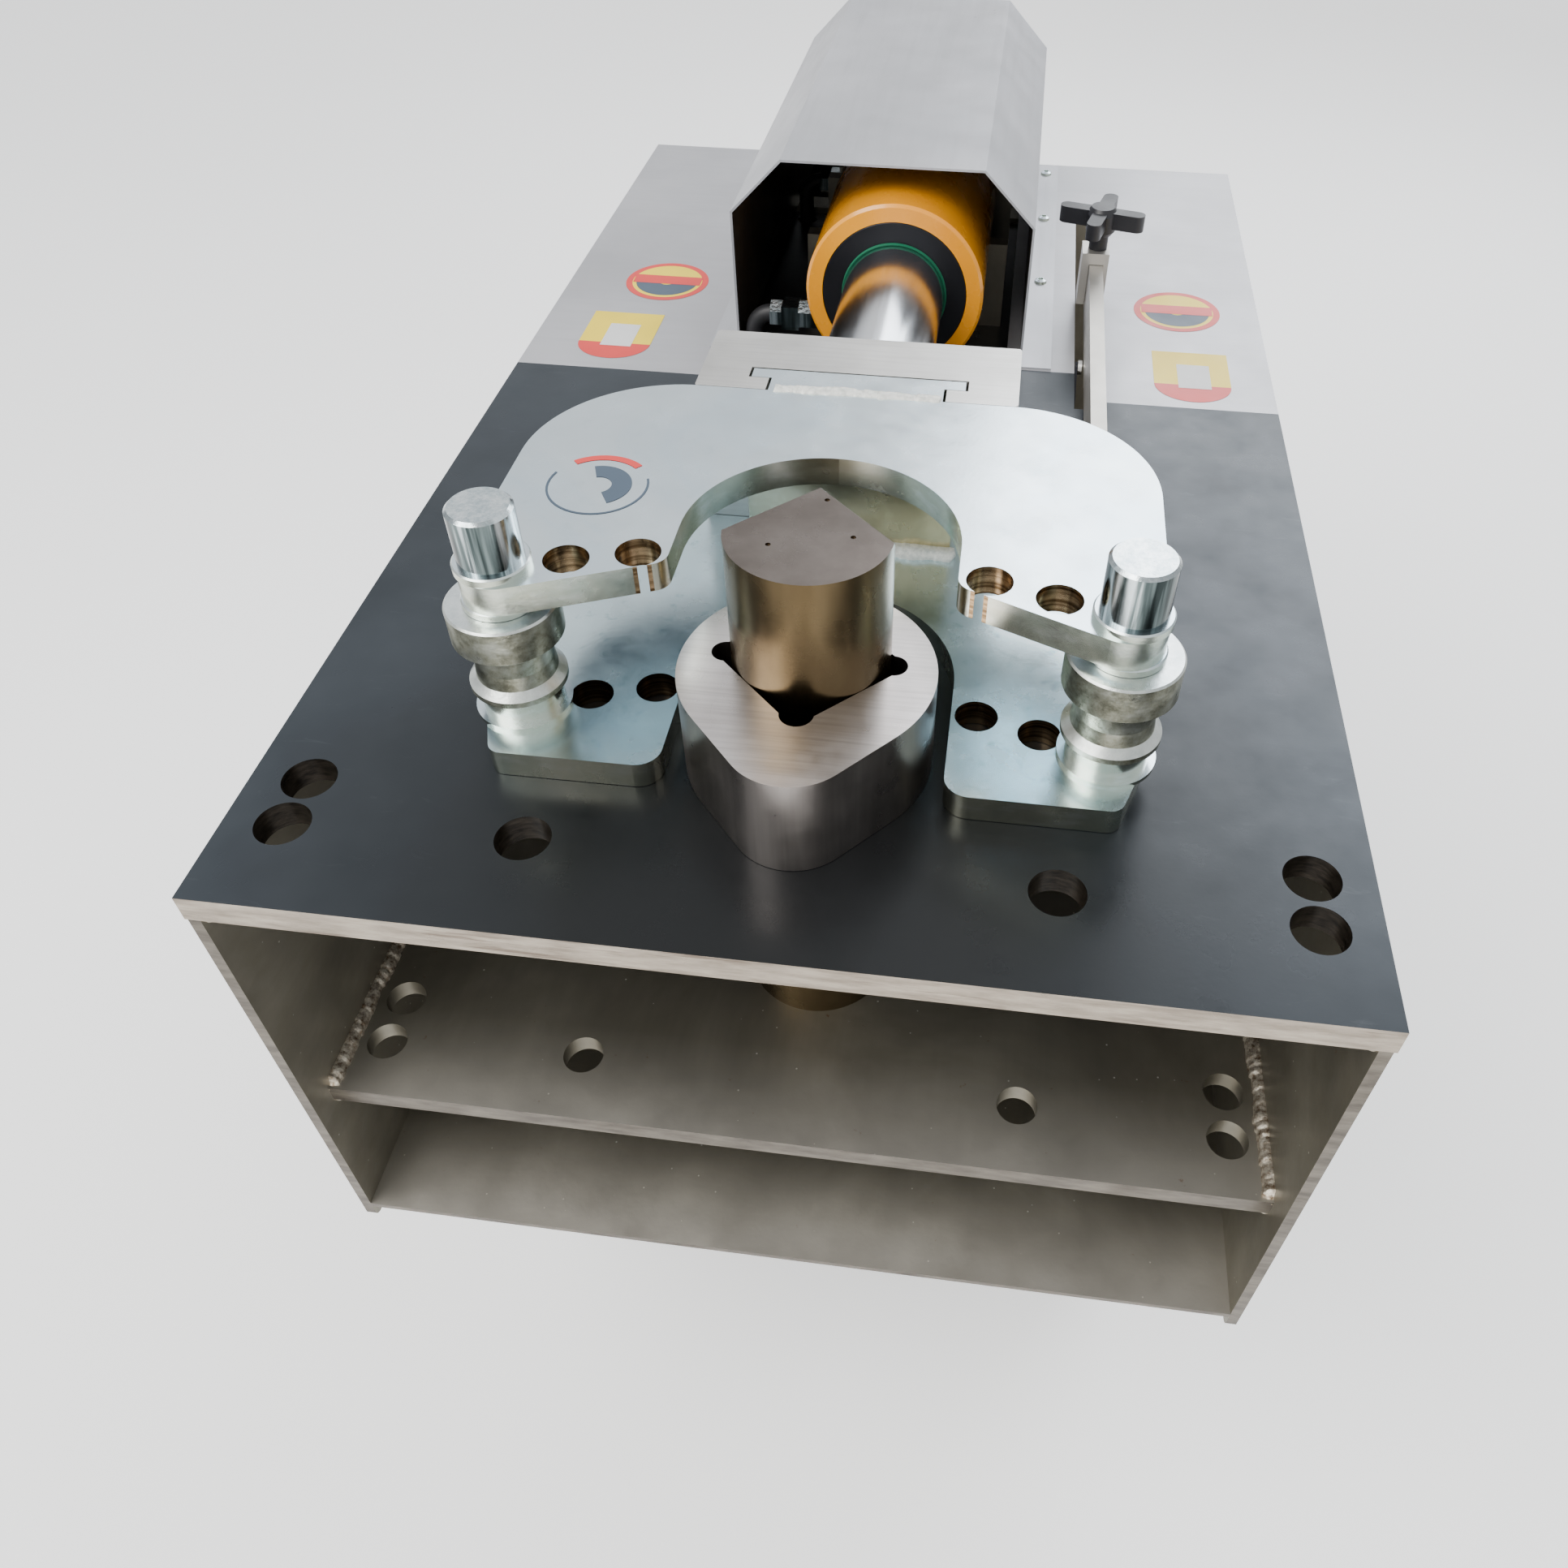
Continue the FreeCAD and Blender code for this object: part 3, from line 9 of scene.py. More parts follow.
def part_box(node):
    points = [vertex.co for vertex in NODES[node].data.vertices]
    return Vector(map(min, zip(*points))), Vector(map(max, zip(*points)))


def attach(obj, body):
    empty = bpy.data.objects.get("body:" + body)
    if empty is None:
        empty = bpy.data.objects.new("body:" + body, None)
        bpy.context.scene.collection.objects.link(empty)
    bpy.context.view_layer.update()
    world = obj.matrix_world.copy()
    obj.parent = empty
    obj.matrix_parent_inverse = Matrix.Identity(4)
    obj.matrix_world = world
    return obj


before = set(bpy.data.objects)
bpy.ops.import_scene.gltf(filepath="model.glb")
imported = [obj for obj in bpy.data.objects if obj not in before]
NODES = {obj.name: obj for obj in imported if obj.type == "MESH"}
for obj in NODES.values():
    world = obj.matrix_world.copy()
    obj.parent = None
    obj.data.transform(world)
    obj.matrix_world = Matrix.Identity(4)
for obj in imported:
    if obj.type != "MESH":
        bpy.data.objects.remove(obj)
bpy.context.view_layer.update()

# The bed's own coordinates, in millimetres: X from the centre plane, Y from the table's
# front edge, Z from its working face.
MM = 0.001
TABLE_LOW, TABLE_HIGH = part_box("top_plate")
ORIGIN = Vector((0.0, TABLE_LOW.y, TABLE_HIGH.z))


def P(x, y, z):
    """The scene position of a point of the bed."""
    return ORIGIN + Vector((x, y, z)) * MM


# ---------------------------------------------------------------- camera
CAMERA_AT = (99.5, -399.5, 580.4)                 # bed millimetres
CAMERA_TURN = (-6.9987, 45.2886, -0.3810)         # yaw, pitch and roll in degrees
CAMERA_LENS, CAMERA_SENSOR = 28.78, 36.0
CAMERA_SHIFT = (-0.0454, -0.0202)
CAMERA_CLIP = (0.02, 60.0)


def make_camera():
    """A camera in front of the table and above it, looking down on it."""
    yaw, pitch, roll = (math.radians(a) for a in CAMERA_TURN)
    level = math.cos(pitch)
    forward = Vector((math.sin(yaw) * level, math.cos(yaw) * level, -math.sin(pitch)))
    right = Vector((math.cos(yaw), -math.sin(yaw), 0.0))
    down = forward.cross(right)
    right, down = (right * math.cos(roll) + down * math.sin(roll),
                   down * math.cos(roll) - right * math.sin(roll))
    data = bpy.data.cameras.new("camera")
    data.sensor_width = CAMERA_SENSOR
    data.lens = CAMERA_LENS
    data.shift_x, data.shift_y = CAMERA_SHIFT
    data.clip_start, data.clip_end = CAMERA_CLIP
    cam = bpy.data.objects.new("camera", data)
    bpy.context.scene.collection.objects.link(cam)
    turn = Matrix((right, -down, -forward)).transposed().to_4x4()
    cam.matrix_world = Matrix.Translation(P(*CAMERA_AT)) @ turn
    bpy.context.scene.camera = cam


make_camera()


# ---------------------------------------------------------------- shader helpers
class Graph:
    """A material's node tree, with one short method per kind of node."""

    def __init__(self, name, metallic=0.0, roughness=0.5, **sockets):
        self.mat = bpy.data.materials.new(name)
        self.mat.use_nodes = True
        self.nt = self.mat.node_tree
        self.bsdf = self.nt.nodes["Principled BSDF"]
        self.bsdf.inputs["Metallic"].default_value = metallic
        self.bsdf.inputs["Roughness"].default_value = roughness
        for key, value in sockets.items():
            self.bsdf.inputs[key.replace("_", " ")].default_value = value
        self.coord = self.nt.nodes.new("ShaderNodeTexCoord")

    def link(self, a, b):
        self.nt.links.new(a, b)

    def put(self, socket, value):
        """Give a socket a number, a colour or another node's output."""
        if isinstance(value, (int, float)):
            socket.default_value = value
        elif isinstance(value, tuple):
            socket.default_value = (*value, 1.0)
        else:
            self.link(value, socket)

    def place(self, stretch=(1, 1, 1)):
        """Object coordinates, scaled by stretch: a small factor draws the pattern out."""
        node = self.nt.nodes.new("ShaderNodeMapping")
        node.inputs["Scale"].default_value = stretch
        self.link(self.coord.outputs["Object"], node.inputs["Vector"])
        return node.outputs["Vector"]

    def noise(self, scale, detail=3.0, rough=0.55, stretch=(1, 1, 1), warp=0.0):
        node = self.nt.nodes.new("ShaderNodeTexNoise")
        node.inputs["Scale"].default_value = scale
        node.inputs["Detail"].default_value = detail
        node.inputs["Roughness"].default_value = rough
        node.inputs["Distortion"].default_value = warp
        self.link(self.place(stretch), node.inputs["Vector"])
        return node.outputs["Fac"]

    def cells(self, scale):
        """Distance to the nearest of a scatter of points."""
        node = self.nt.nodes.new("ShaderNodeTexVoronoi")
        node.inputs["Scale"].default_value = scale
        self.link(self.place(), node.inputs["Vector"])
        return node.outputs["Distance"]

    def ramp(self, fac, *stops):
        """Colours or greys at the given positions, blended between them."""
        node = self.nt.nodes.new("ShaderNodeValToRGB")
        line = node.color_ramp.elements
        while len(line) < len(stops):
            line.new(0.5)
        for element, (at, value) in zip(line, stops):
            tone = value if isinstance(value, tuple) else (value, value, value)
            element.position = at
            element.color = (*tone, 1.0)
        self.link(fac, node.inputs["Fac"])
        return node.outputs["Color"]

    def mix(self, fac, a, b):
        """Colour a where fac is 0, colour b where it is 1."""
        node = self.nt.nodes.new("ShaderNodeMix")
        node.data_type = "RGBA"
        self.put(node.inputs[0], fac)
        self.put(node.inputs[6], a)
        self.put(node.inputs[7], b)
        return node.outputs[2]

    def math(self, kind, a, b=0.0):
        node = self.nt.nodes.new("ShaderNodeMath")
        node.operation = kind
        self.put(node.inputs[0], a)
        self.put(node.inputs[1], b)
        return node.outputs[0]

    def axis(self, which, source="Normal"):
        node = self.nt.nodes.new("ShaderNodeSeparateXYZ")
        self.link(self.coord.outputs[source], node.inputs[0])
        return node.outputs[which]

    def facing_up(self):
        """1 on level faces, 0 on upright ones."""
        return self.ramp(self.math("ABSOLUTE", self.axis("Z")), (0.55, 0.0), (0.85, 1.0))

    def band(self, which, low, high):
        """1 where the object coordinate lies between low and high, in metres."""
        at = self.axis(which, "Object")
        above = self.math("GREATER_THAN", at, low)
        return self.math("MULTIPLY", above, self.math("LESS_THAN", at, high))

    def distance(self, point, centre):
        node = self.nt.nodes.new("ShaderNodeVectorMath")
        node.operation = "DISTANCE"
        self.link(point, node.inputs[0])
        node.inputs[1].default_value = centre
        return node.outputs["Value"]

    def spot(self, x, y, inner, outer):
        """1 at bed point (x, y), falling to 0 between the two distances, in metres."""
        away = self.distance(self.coord.outputs["Object"], P(x, y, 0))
        fall = self.math("DIVIDE", self.math("SUBTRACT", outer, away), outer - inner)
        return self.math("MINIMUM", self.math("MAXIMUM", fall, 0.0), 1.0)

    def near(self, places, radius):
        """1 within radius of any of the upright axes at places and at their mirror images."""
        join = self.nt.nodes.new("ShaderNodeCombineXYZ")
        self.link(self.math("ABSOLUTE", self.axis("X", "Object")), join.inputs[0])
        self.link(self.axis("Y", "Object"), join.inputs[1])
        total = 0.0
        for x, y in places:
            at = P(x, y, 0)
            away = self.distance(join.outputs[0], (at.x, at.y, 0.0))
            total = self.math("MAXIMUM", self.math("LESS_THAN", away, radius * MM), total)
        return total

    def color(self, value):
        self.put(self.bsdf.inputs["Base Color"], value)

    def rough(self, fac, low, high):
        """Roughness that wanders between low and high."""
        self.link(self.ramp(fac, (0.25, low), (0.75, high)), self.bsdf.inputs["Roughness"])

    def bump(self, height, strength=0.2, distance=0.0005):
        node = self.nt.nodes.new("ShaderNodeBump")
        node.inputs["Strength"].default_value = strength
        node.inputs["Distance"].default_value = distance
        self.link(height, node.inputs["Height"])
        self.link(node.outputs["Normal"], self.bsdf.inputs["Normal"])


# ---------------------------------------------------------------- materials
# Axes of the holes on the right-hand side and the centre plane, and how far from its axis a
# hole's wall is coloured, in bed millimetres.
TABLE_HOLES = [(312.0, 102.0), (312.0, 63.6), (162.0, 71.3)]
TABLE_HOLE_REACH = 18.5
POST_HOLE = [(0.0, 186.0)]
POST_HOLE_REACH = 46.5
PIN_HOLES = [(105.5, 194.0), (146.5, 182.0), (188.0, 171.0)]
PIN_HOLE_REACH = 14.9

# The painted shade round the former, a dark patch that stands for its shade and reflection on the
# plate: bed centre, and the metres over which it fades.
FORMER_SHADE_AT = (0, 70)
FORMER_SHADE_FADE = (0.13, 0.36)

# The front edges of the bed's plates, as scene Y in metres.
FRONT_EDGES = (-0.70, -0.62)


def table_steel():
    """Blackened plate: satin slate, painted darkest round the former as painted shade, bare on its
    edges.
    """
    g = Graph("table_steel", 0.35, 0.36)
    cloud = g.noise(5, 4, 0.6)
    fine = g.noise(260, 3, 0.6)
    scuff = g.noise(34, 5, 0.7, (1, 4, 1), 0.6)
    top = g.ramp(cloud, (0.3, (0.020, 0.026, 0.033)), (0.7, (0.040, 0.049, 0.060)))
    top = g.mix(g.ramp(scuff, (0.62, 0.0), (0.78, 0.45)), top, (0.075, 0.086, 0.098))
    # Painted shade: the top is darkened round the former, for the former's shade and reflection on
    # the plate.
    former_shade = g.spot(*FORMER_SHADE_AT, *FORMER_SHADE_FADE)
    top = g.mix(former_shade, top, (0.0065, 0.0075, 0.0085))
    edge = g.ramp(g.noise(55, 4, 0.65, (0.5, 1, 3)),
                  (0.35, (0.20, 0.162, 0.122)), (0.7, (0.40, 0.345, 0.275)))
    seam = g.ramp(g.noise(40, 5, 0.7, (0.25, 1, 6)), (0.60, 0.0), (0.68, 0.8))
    edge = g.mix(seam, edge, (0.10, 0.065, 0.04))
    # Painted shade in the holes: their walls are coloured near-black here, and their specular is
    # turned down below, so the holes read as shaded.
    bore = g.ramp(g.noise(90, 4, 0.65, (1, 1, 4)),
                  (0.35, (0.006, 0.005, 0.004)), (0.75, (0.032, 0.026, 0.020)))
    holes = g.math("MAXIMUM", g.near(TABLE_HOLES, TABLE_HOLE_REACH),
                   g.near(POST_HOLE, POST_HOLE_REACH))
    edge = g.mix(holes, edge, bore)
    up = g.facing_up()
    g.color(g.mix(up, edge, top))
    wall = g.math("MULTIPLY", holes, g.math("SUBTRACT", 1.0, up))
    shine = g.math("SUBTRACT", 0.5, g.math("MULTIPLY", wall, 0.46))
    g.put(g.bsdf.inputs["Specular IOR Level"], shine)
    g.rough(g.noise(22, 4, 0.6), 0.22, 0.42)
    g.bump(fine, 0.12, 0.0003)
    return g.mat


def mill_steel():
    """Hot-rolled plate, olive brown, its level faces painted paler towards the front as painted
    light.
    """
    g = Graph("mill_steel", 0.7, 0.42)
    cloud = g.noise(5, 5, 0.62, (1, 1, 1), 0.5)
    base = g.ramp(cloud, (0.3, (0.165, 0.150, 0.115)), (0.55, (0.25, 0.232, 0.185)),
                  (0.75, (0.35, 0.325, 0.27)))
    streak = g.noise(30, 4, 0.6, (1, 0.08, 1))
    base = g.mix(g.ramp(streak, (0.4, 0.0), (0.75, 0.4)), base, (0.15, 0.142, 0.118))
    # Painted light: level faces grow paler towards the front, for the light reflected there.
    front = g.math("ADD", g.math("MULTIPLY", g.axis("Y", "Object"), -7.0), -3.9)
    painted_front_light = g.math("MULTIPLY", g.ramp(front, (0.1, 0.0), (0.7, 0.75)), g.facing_up())
    base = g.mix(painted_front_light, base, (0.48, 0.455, 0.41))
    rust = g.ramp(g.noise(85, 6, 0.7), (0.67, 0.0), (0.74, 0.8))
    base = g.mix(rust, base, (0.17, 0.075, 0.035))
    speck = g.ramp(g.cells(70), (0.03, 0.8), (0.06, 0.0))
    base = g.mix(speck, base, (0.74, 0.71, 0.63))
    edge = g.ramp(g.noise(60, 4, 0.65, (0.4, 1, 2)),
                  (0.35, (0.07, 0.058, 0.045)), (0.7, (0.17, 0.15, 0.12)))
    faced = g.math("GREATER_THAN", g.math("MULTIPLY", g.axis("Y"), -1.0), 0.6)
    faced = g.math("MULTIPLY", faced, g.band("Y", *FRONT_EDGES))
    g.color(g.mix(faced, base, edge))
    g.rough(g.noise(18, 4, 0.6), 0.30, 0.50)
    g.bump(g.noise(150, 4, 0.6), 0.22, 0.0005)
    return g.mat


def sheet_grey():
    """Bare cover sheet with a fine grain across the bed."""
    tone = (0.50, 0.50, 0.525)
    g = Graph("sheet_grey", 0.45, 0.4)
    cloud = g.noise(4.5, 4, 0.6)
    dark = tuple(0.86 * v for v in tone)
    light = tuple(min(1.0, 1.08 * v) for v in tone)
    base = g.ramp(cloud, (0.3, dark), (0.7, light))
    grain = g.noise(120, 3, 0.6, (0.06, 1, 1))
    base = g.mix(g.ramp(grain, (0.45, 0.0), (0.7, 0.25)), base, tuple(0.8 * v for v in tone))
    mark = g.ramp(g.noise(60, 6, 0.75), (0.70, 0.0), (0.74, 0.6))
    g.color(g.mix(mark, base, (0.36, 0.34, 0.32)))
    g.rough(g.noise(16, 4, 0.6), 0.30, 0.44)
    g.bump(grain, 0.06, 0.0003)
    return g.mat


def hood_sheet():
    """The hood is bare sheet outside, and painted dark inside as painted shade."""
    g = Graph("hood_sheet", 0.5, 0.36)
    grain = g.noise(110, 3, 0.6, (1, 0.06, 1))
    outside = g.ramp(g.noise(4, 4, 0.6), (0.3, (0.46, 0.47, 0.50)), (0.7, (0.60, 0.60, 0.63)))
    outside = g.mix(g.ramp(grain, (0.45, 0.0), (0.7, 0.3)), outside, (0.40, 0.41, 0.43))
    # Painted shade: the inside faces are coloured near-black for the shade inside the hood.
    inside = g.ramp(g.noise(12, 4, 0.6),
                    (0.3, (0.030, 0.031, 0.028)), (0.7, (0.075, 0.075, 0.068)))
    sideways = g.math("MULTIPLY", g.axis("X"), g.math("ADD", g.axis("X", "Object"), 0.015))
    outward = g.math("ADD", g.math("MULTIPLY", sideways, 8.0), g.axis("Z"))
    g.color(g.mix(g.math("GREATER_THAN", outward, -0.05), inside, outside))
    g.rough(g.noise(14, 3, 0.6), 0.26, 0.40)
    g.bump(grain, 0.06, 0.0003)
    return g.mat


def zinc(name, spread, top=(0.78, 0.87, 0.92), side=(0.50, 0.54, 0.45), gold=0.0):
    """Zinc-plated plate: cool clouded faces, greener upright faces, brown oily pin holes.

    spread is how much teal shows in the clouds, and gold how yellow the upright faces turn
    towards the right-hand side.
    """
    g = Graph(name, 1.0, 0.25)
    cloud = g.noise(7, 5, 0.62, (1, 1, 1), 0.8)
    spot = g.noise(75, 6, 0.7)
    pale = tuple(min(1.0, v * 1.07) for v in top)
    cool = (top[0] * 0.88, top[1] * 0.95, top[2])
    flat = g.ramp(cloud, (0.25, cool), (0.5, top), (0.75, pale))
    flat = g.mix(g.ramp(spot, (0.56, 0.0), (0.72, spread)), flat, (0.26, 0.45, 0.50))
    wall = g.ramp(cloud, (0.25, (0.34, 0.44, 0.41)), (0.5, side), (0.75, (0.72, 0.70, 0.56)))
    sheen = g.ramp(g.noise(40, 4, 0.6, (1, 1, 3)), (0.5, 0.0), (0.8, 0.5))
    wall = g.mix(sheen, wall, (0.86, 0.89, 0.88))
    if gold:
        across = g.math("ADD", g.math("MULTIPLY", g.axis("X", "Object"), 5.0), 0.55)
        wall = g.mix(g.ramp(across, (0.3, 0.15), (0.8, gold)), wall, (0.66, 0.58, 0.34))
    rings = g.noise(600, 1, 0.5, (0.02, 0.02, 1))
    bore = g.ramp(rings, (0.35, (0.12, 0.075, 0.035)), (0.65, (0.46, 0.33, 0.19)))
    wall = g.mix(g.near(PIN_HOLES, PIN_HOLE_REACH), wall, bore)
    g.color(g.mix(g.facing_up(), wall, flat))
    g.rough(g.noise(30, 4, 0.6), 0.16, 0.32)
    g.bump(g.noise(320, 3, 0.6), 0.10, 0.0003)
    return g.mat


def zinc_pin():
    """Polished pin: frosted end face, and long light and dark bands of painted reflection down its
    side.
    """
    g = Graph("zinc_pin", 1.0, 0.2)
    # Painted reflection: light and dark bands down the side stand for the bright and dark things
    # the pin reflects.
    reflection_bands = g.noise(70, 4, 0.6, (1, 1, 0.05), 0.3)
    wall = g.ramp(reflection_bands, (0.44, (0.03, 0.04, 0.04)), (0.53, (0.15, 0.19, 0.19)),
                  (0.63, (0.74, 0.82, 0.84)))
    face = g.ramp(g.noise(190, 5, 0.7), (0.35, (0.52, 0.62, 0.66)), (0.62, (0.86, 0.92, 0.94)))
    g.color(g.mix(g.facing_up(), wall, face))
    g.rough(g.noise(60, 4, 0.6), 0.10, 0.24)
    g.bump(g.math("MULTIPLY", g.noise(260, 4, 0.6), g.facing_up()), 0.5, 0.0008)
    return g.mat


def roller_zinc():
    """Bending rollers: olive passivated plating, worn and pitted, with pale end faces."""
    g = Graph("roller_zinc", 1.0, 0.3)
    wall = g.ramp(g.noise(60, 6, 0.72), (0.34, (0.17, 0.17, 0.125)), (0.50, (0.38, 0.385, 0.305)),
                  (0.7, (0.58, 0.60, 0.54)))
    face = g.ramp(g.noise(80, 5, 0.7), (0.3, (0.66, 0.73, 0.75)), (0.6, (0.88, 0.93, 0.94)))
    g.color(g.mix(g.facing_up(), wall, face))
    g.rough(g.noise(50, 4, 0.6), 0.22, 0.45)
    g.bump(g.noise(220, 4, 0.6), 0.3, 0.0006)
    return g.mat


def ground_steel():
    """Ground former: lines across its level faces, upright lines down its flanks."""
    g = Graph("ground_steel", 1.0, 0.3)
    across = g.noise(500, 2, 0.5, (0.03, 1, 1))
    down = g.noise(420, 2, 0.5, (1, 1, 0.03))
    up = g.facing_up()
    face = g.ramp(g.noise(14, 4, 0.6), (0.3, (0.64, 0.595, 0.585)), (0.7, (0.80, 0.755, 0.745)))
    wall = g.ramp(g.noise(16, 4, 0.6, (1, 1, 0.15)), (0.34, (0.19, 0.17, 0.158)),
                  (0.52, (0.30, 0.272, 0.256)), (0.7, (0.46, 0.425, 0.405)))
    fine = g.mix(up, down, across)
    base = g.mix(up, wall, face)
    g.color(g.mix(g.ramp(fine, (0.42, 0.0), (0.7, 0.25)), base, (0.30, 0.27, 0.26)))
    g.rough(g.noise(25, 4, 0.6), 0.24, 0.38)
    g.bump(fine, 0.18, 0.0003)
    return g.mat


def post_bronze():
    """Oil-brown turned post with a satin end face."""
    g = Graph("post_bronze", 1.0, 0.28)
    turned = g.noise(380, 2, 0.5, (0.02, 0.02, 1))
    wall = g.ramp(g.noise(12, 4, 0.6, (1, 1, 0.25)),
                  (0.3, (0.085, 0.060, 0.030)), (0.7, (0.185, 0.138, 0.076)))
    face = g.ramp(g.noise(22, 5, 0.65), (0.3, (0.150, 0.126, 0.112)), (0.7, (0.22, 0.19, 0.172)))
    g.color(g.mix(g.facing_up(), wall, face))
    g.rough(g.noise(20, 4, 0.6), 0.20, 0.34)
    g.bump(turned, 0.10, 0.0003)
    return g.mat


def machined():
    """Milled steel, with tool lines across the bed."""
    g = Graph("machined_steel", 1.0, 0.34)
    mill = g.noise(300, 2, 0.5, (0.05, 1, 1))
    base = g.ramp(g.noise(9, 4, 0.6), (0.3, (0.64, 0.625, 0.60)), (0.7, (0.80, 0.785, 0.76)))
    g.color(g.mix(g.ramp(mill, (0.45, 0.0), (0.7, 0.22)), base, (0.48, 0.46, 0.44)))
    g.rough(g.noise(22, 4, 0.6), 0.28, 0.44)
    g.bump(mill, 0.12, 0.0003)
    return g.mat


def paint(name, tone, roughness=0.3, coat=0.0, metallic=0.0, chips=None, texture=0.05):
    """Paint, plastic or plain metal of one tone, clouded a little; chips is what shows in chips."""
    g = Graph(name, metallic, roughness, Coat_Weight=coat, Coat_Roughness=0.12)
    base = g.ramp(g.noise(7, 4, 0.6), (0.3, tuple(0.86 * v for v in tone)),
                  (0.7, tuple(min(1.0, 1.1 * v) for v in tone)))
    if chips:
        base = g.mix(g.ramp(g.noise(70, 6, 0.75), (0.70, 0.0), (0.735, 0.9)), base, chips)
    g.color(base)
    g.rough(g.noise(25, 4, 0.6), roughness * 0.8, min(1.0, roughness * 1.25))
    g.bump(g.noise(240, 3, 0.6), texture, 0.0005)
    return g.mat


def chrome():
    """Ground and chromed rod: soft streaks along its length."""
    g = Graph("hard_chrome", 1.0, 0.14)
    g.color(g.ramp(g.noise(26, 3, 0.5, (1, 0.06, 1)),
                   (0.3, (0.66, 0.70, 0.74)), (0.7, (0.86, 0.88, 0.91))))
    g.rough(g.noise(40, 4, 0.6, (1, 0.2, 1)), 0.12, 0.24)
    g.bump(g.noise(420, 2, 0.5, (1, 0.02, 1)), 0.05, 0.0003)
    return g.mat


def weld(name, tone, dark, metallic):
    """Rough weld metal, mottled between two tones."""
    g = Graph(name, metallic, 0.4)
    g.color(g.ramp(g.noise(240, 5, 0.7), (0.35, dark), (0.6, tone)))
    g.rough(g.noise(160, 4, 0.6), 0.28, 0.6)
    g.bump(g.noise(420, 4, 0.7), 0.6, 0.001)
    return g.mat


MAT = {
    "table": table_steel(),
    "mill": mill_steel(),
    "sheet": sheet_grey(),
    "hood": hood_sheet(),
    "zinc_upper": zinc("zinc_upper", 0.10),
    "zinc_web": zinc("zinc_web", 0.2, side=(0.58, 0.60, 0.50), gold=0.85),
    "zinc_lower": zinc("zinc_lower", 0.55, (0.68, 0.81, 0.85), (0.47, 0.51, 0.42)),
    "zinc_pin": zinc_pin(),
    "roller": roller_zinc(),
    "ground": ground_steel(),
    "bronze": post_bronze(),
    "machined": machined(),
    "orange": paint("cylinder_orange", (1.0, 0.36, 0.004), 0.26, coat=0.6,
                    chips=(0.45, 0.20, 0.05)),
    "gland": paint("gland_black", (0.022, 0.022, 0.026), 0.34, metallic=0.6),
    "green": paint("seal_green", (0.01, 0.16, 0.08), 0.45),
    "chrome": chrome(),
    "rubber": paint("hose_rubber", (0.018, 0.018, 0.02), 0.5, texture=0.2),
    "plastic": paint("black_plastic", (0.012, 0.012, 0.015), 0.38, texture=0.25),
    "stop": paint("stop_bar_metal", (0.60, 0.575, 0.53), 0.38, metallic=0.75,
                  chips=(0.35, 0.31, 0.26)),
    "dark": paint("dark_fastener", (0.03, 0.03, 0.035), 0.35, metallic=0.8),
    "stand": paint("stand_paint", (0.045, 0.05, 0.058), 0.42, chips=(0.22, 0.20, 0.18),
                   texture=0.3),
    "tank": paint("tank_paint", (0.10, 0.11, 0.125), 0.4, chips=(0.28, 0.26, 0.24),
                  texture=0.3),
    "motor": paint("motor_paint", (0.035, 0.075, 0.13), 0.38, chips=(0.25, 0.24, 0.23),
                   texture=0.4),
    "cast": paint("cast_alloy", (0.40, 0.41, 0.42), 0.45, metallic=0.9,
                  chips=(0.25, 0.25, 0.25), texture=0.7),
    "valve": paint("valve_steel", (0.17, 0.17, 0.18), 0.5, metallic=0.7, texture=0.4),
    "cabinet": paint("cabinet_paint", (0.50, 0.50, 0.48), 0.48, chips=(0.30, 0.30, 0.29),
                     texture=0.5),
    "red": paint("button_red", (0.55, 0.012, 0.01), 0.25, coat=0.5),
    "green_button": paint("button_green", (0.012, 0.26, 0.05), 0.25, coat=0.5),
    # Painted shade: the tray inside the hood is coloured near-black for the shade there.
    "tray": paint("tray_dark", (0.02, 0.021, 0.024), 0.3, metallic=0.4),
    "weld_bright": weld("weld_bright", (0.90, 0.90, 0.84), (0.62, 0.64, 0.60), 0.3),
    "weld_raw": weld("weld_raw", (0.80, 0.74, 0.62), (0.22, 0.15, 0.09), 0.8),
    "yellow": paint("decal_yellow", (0.88, 0.66, 0.03), 0.35),
    "decal_red": paint("decal_red", (0.68, 0.045, 0.04), 0.35),
    "decal_pale": paint("decal_pale", (0.66, 0.66, 0.66), 0.4),
    "decal_dark": paint("decal_dark", (0.06, 0.09, 0.13), 0.4),
}

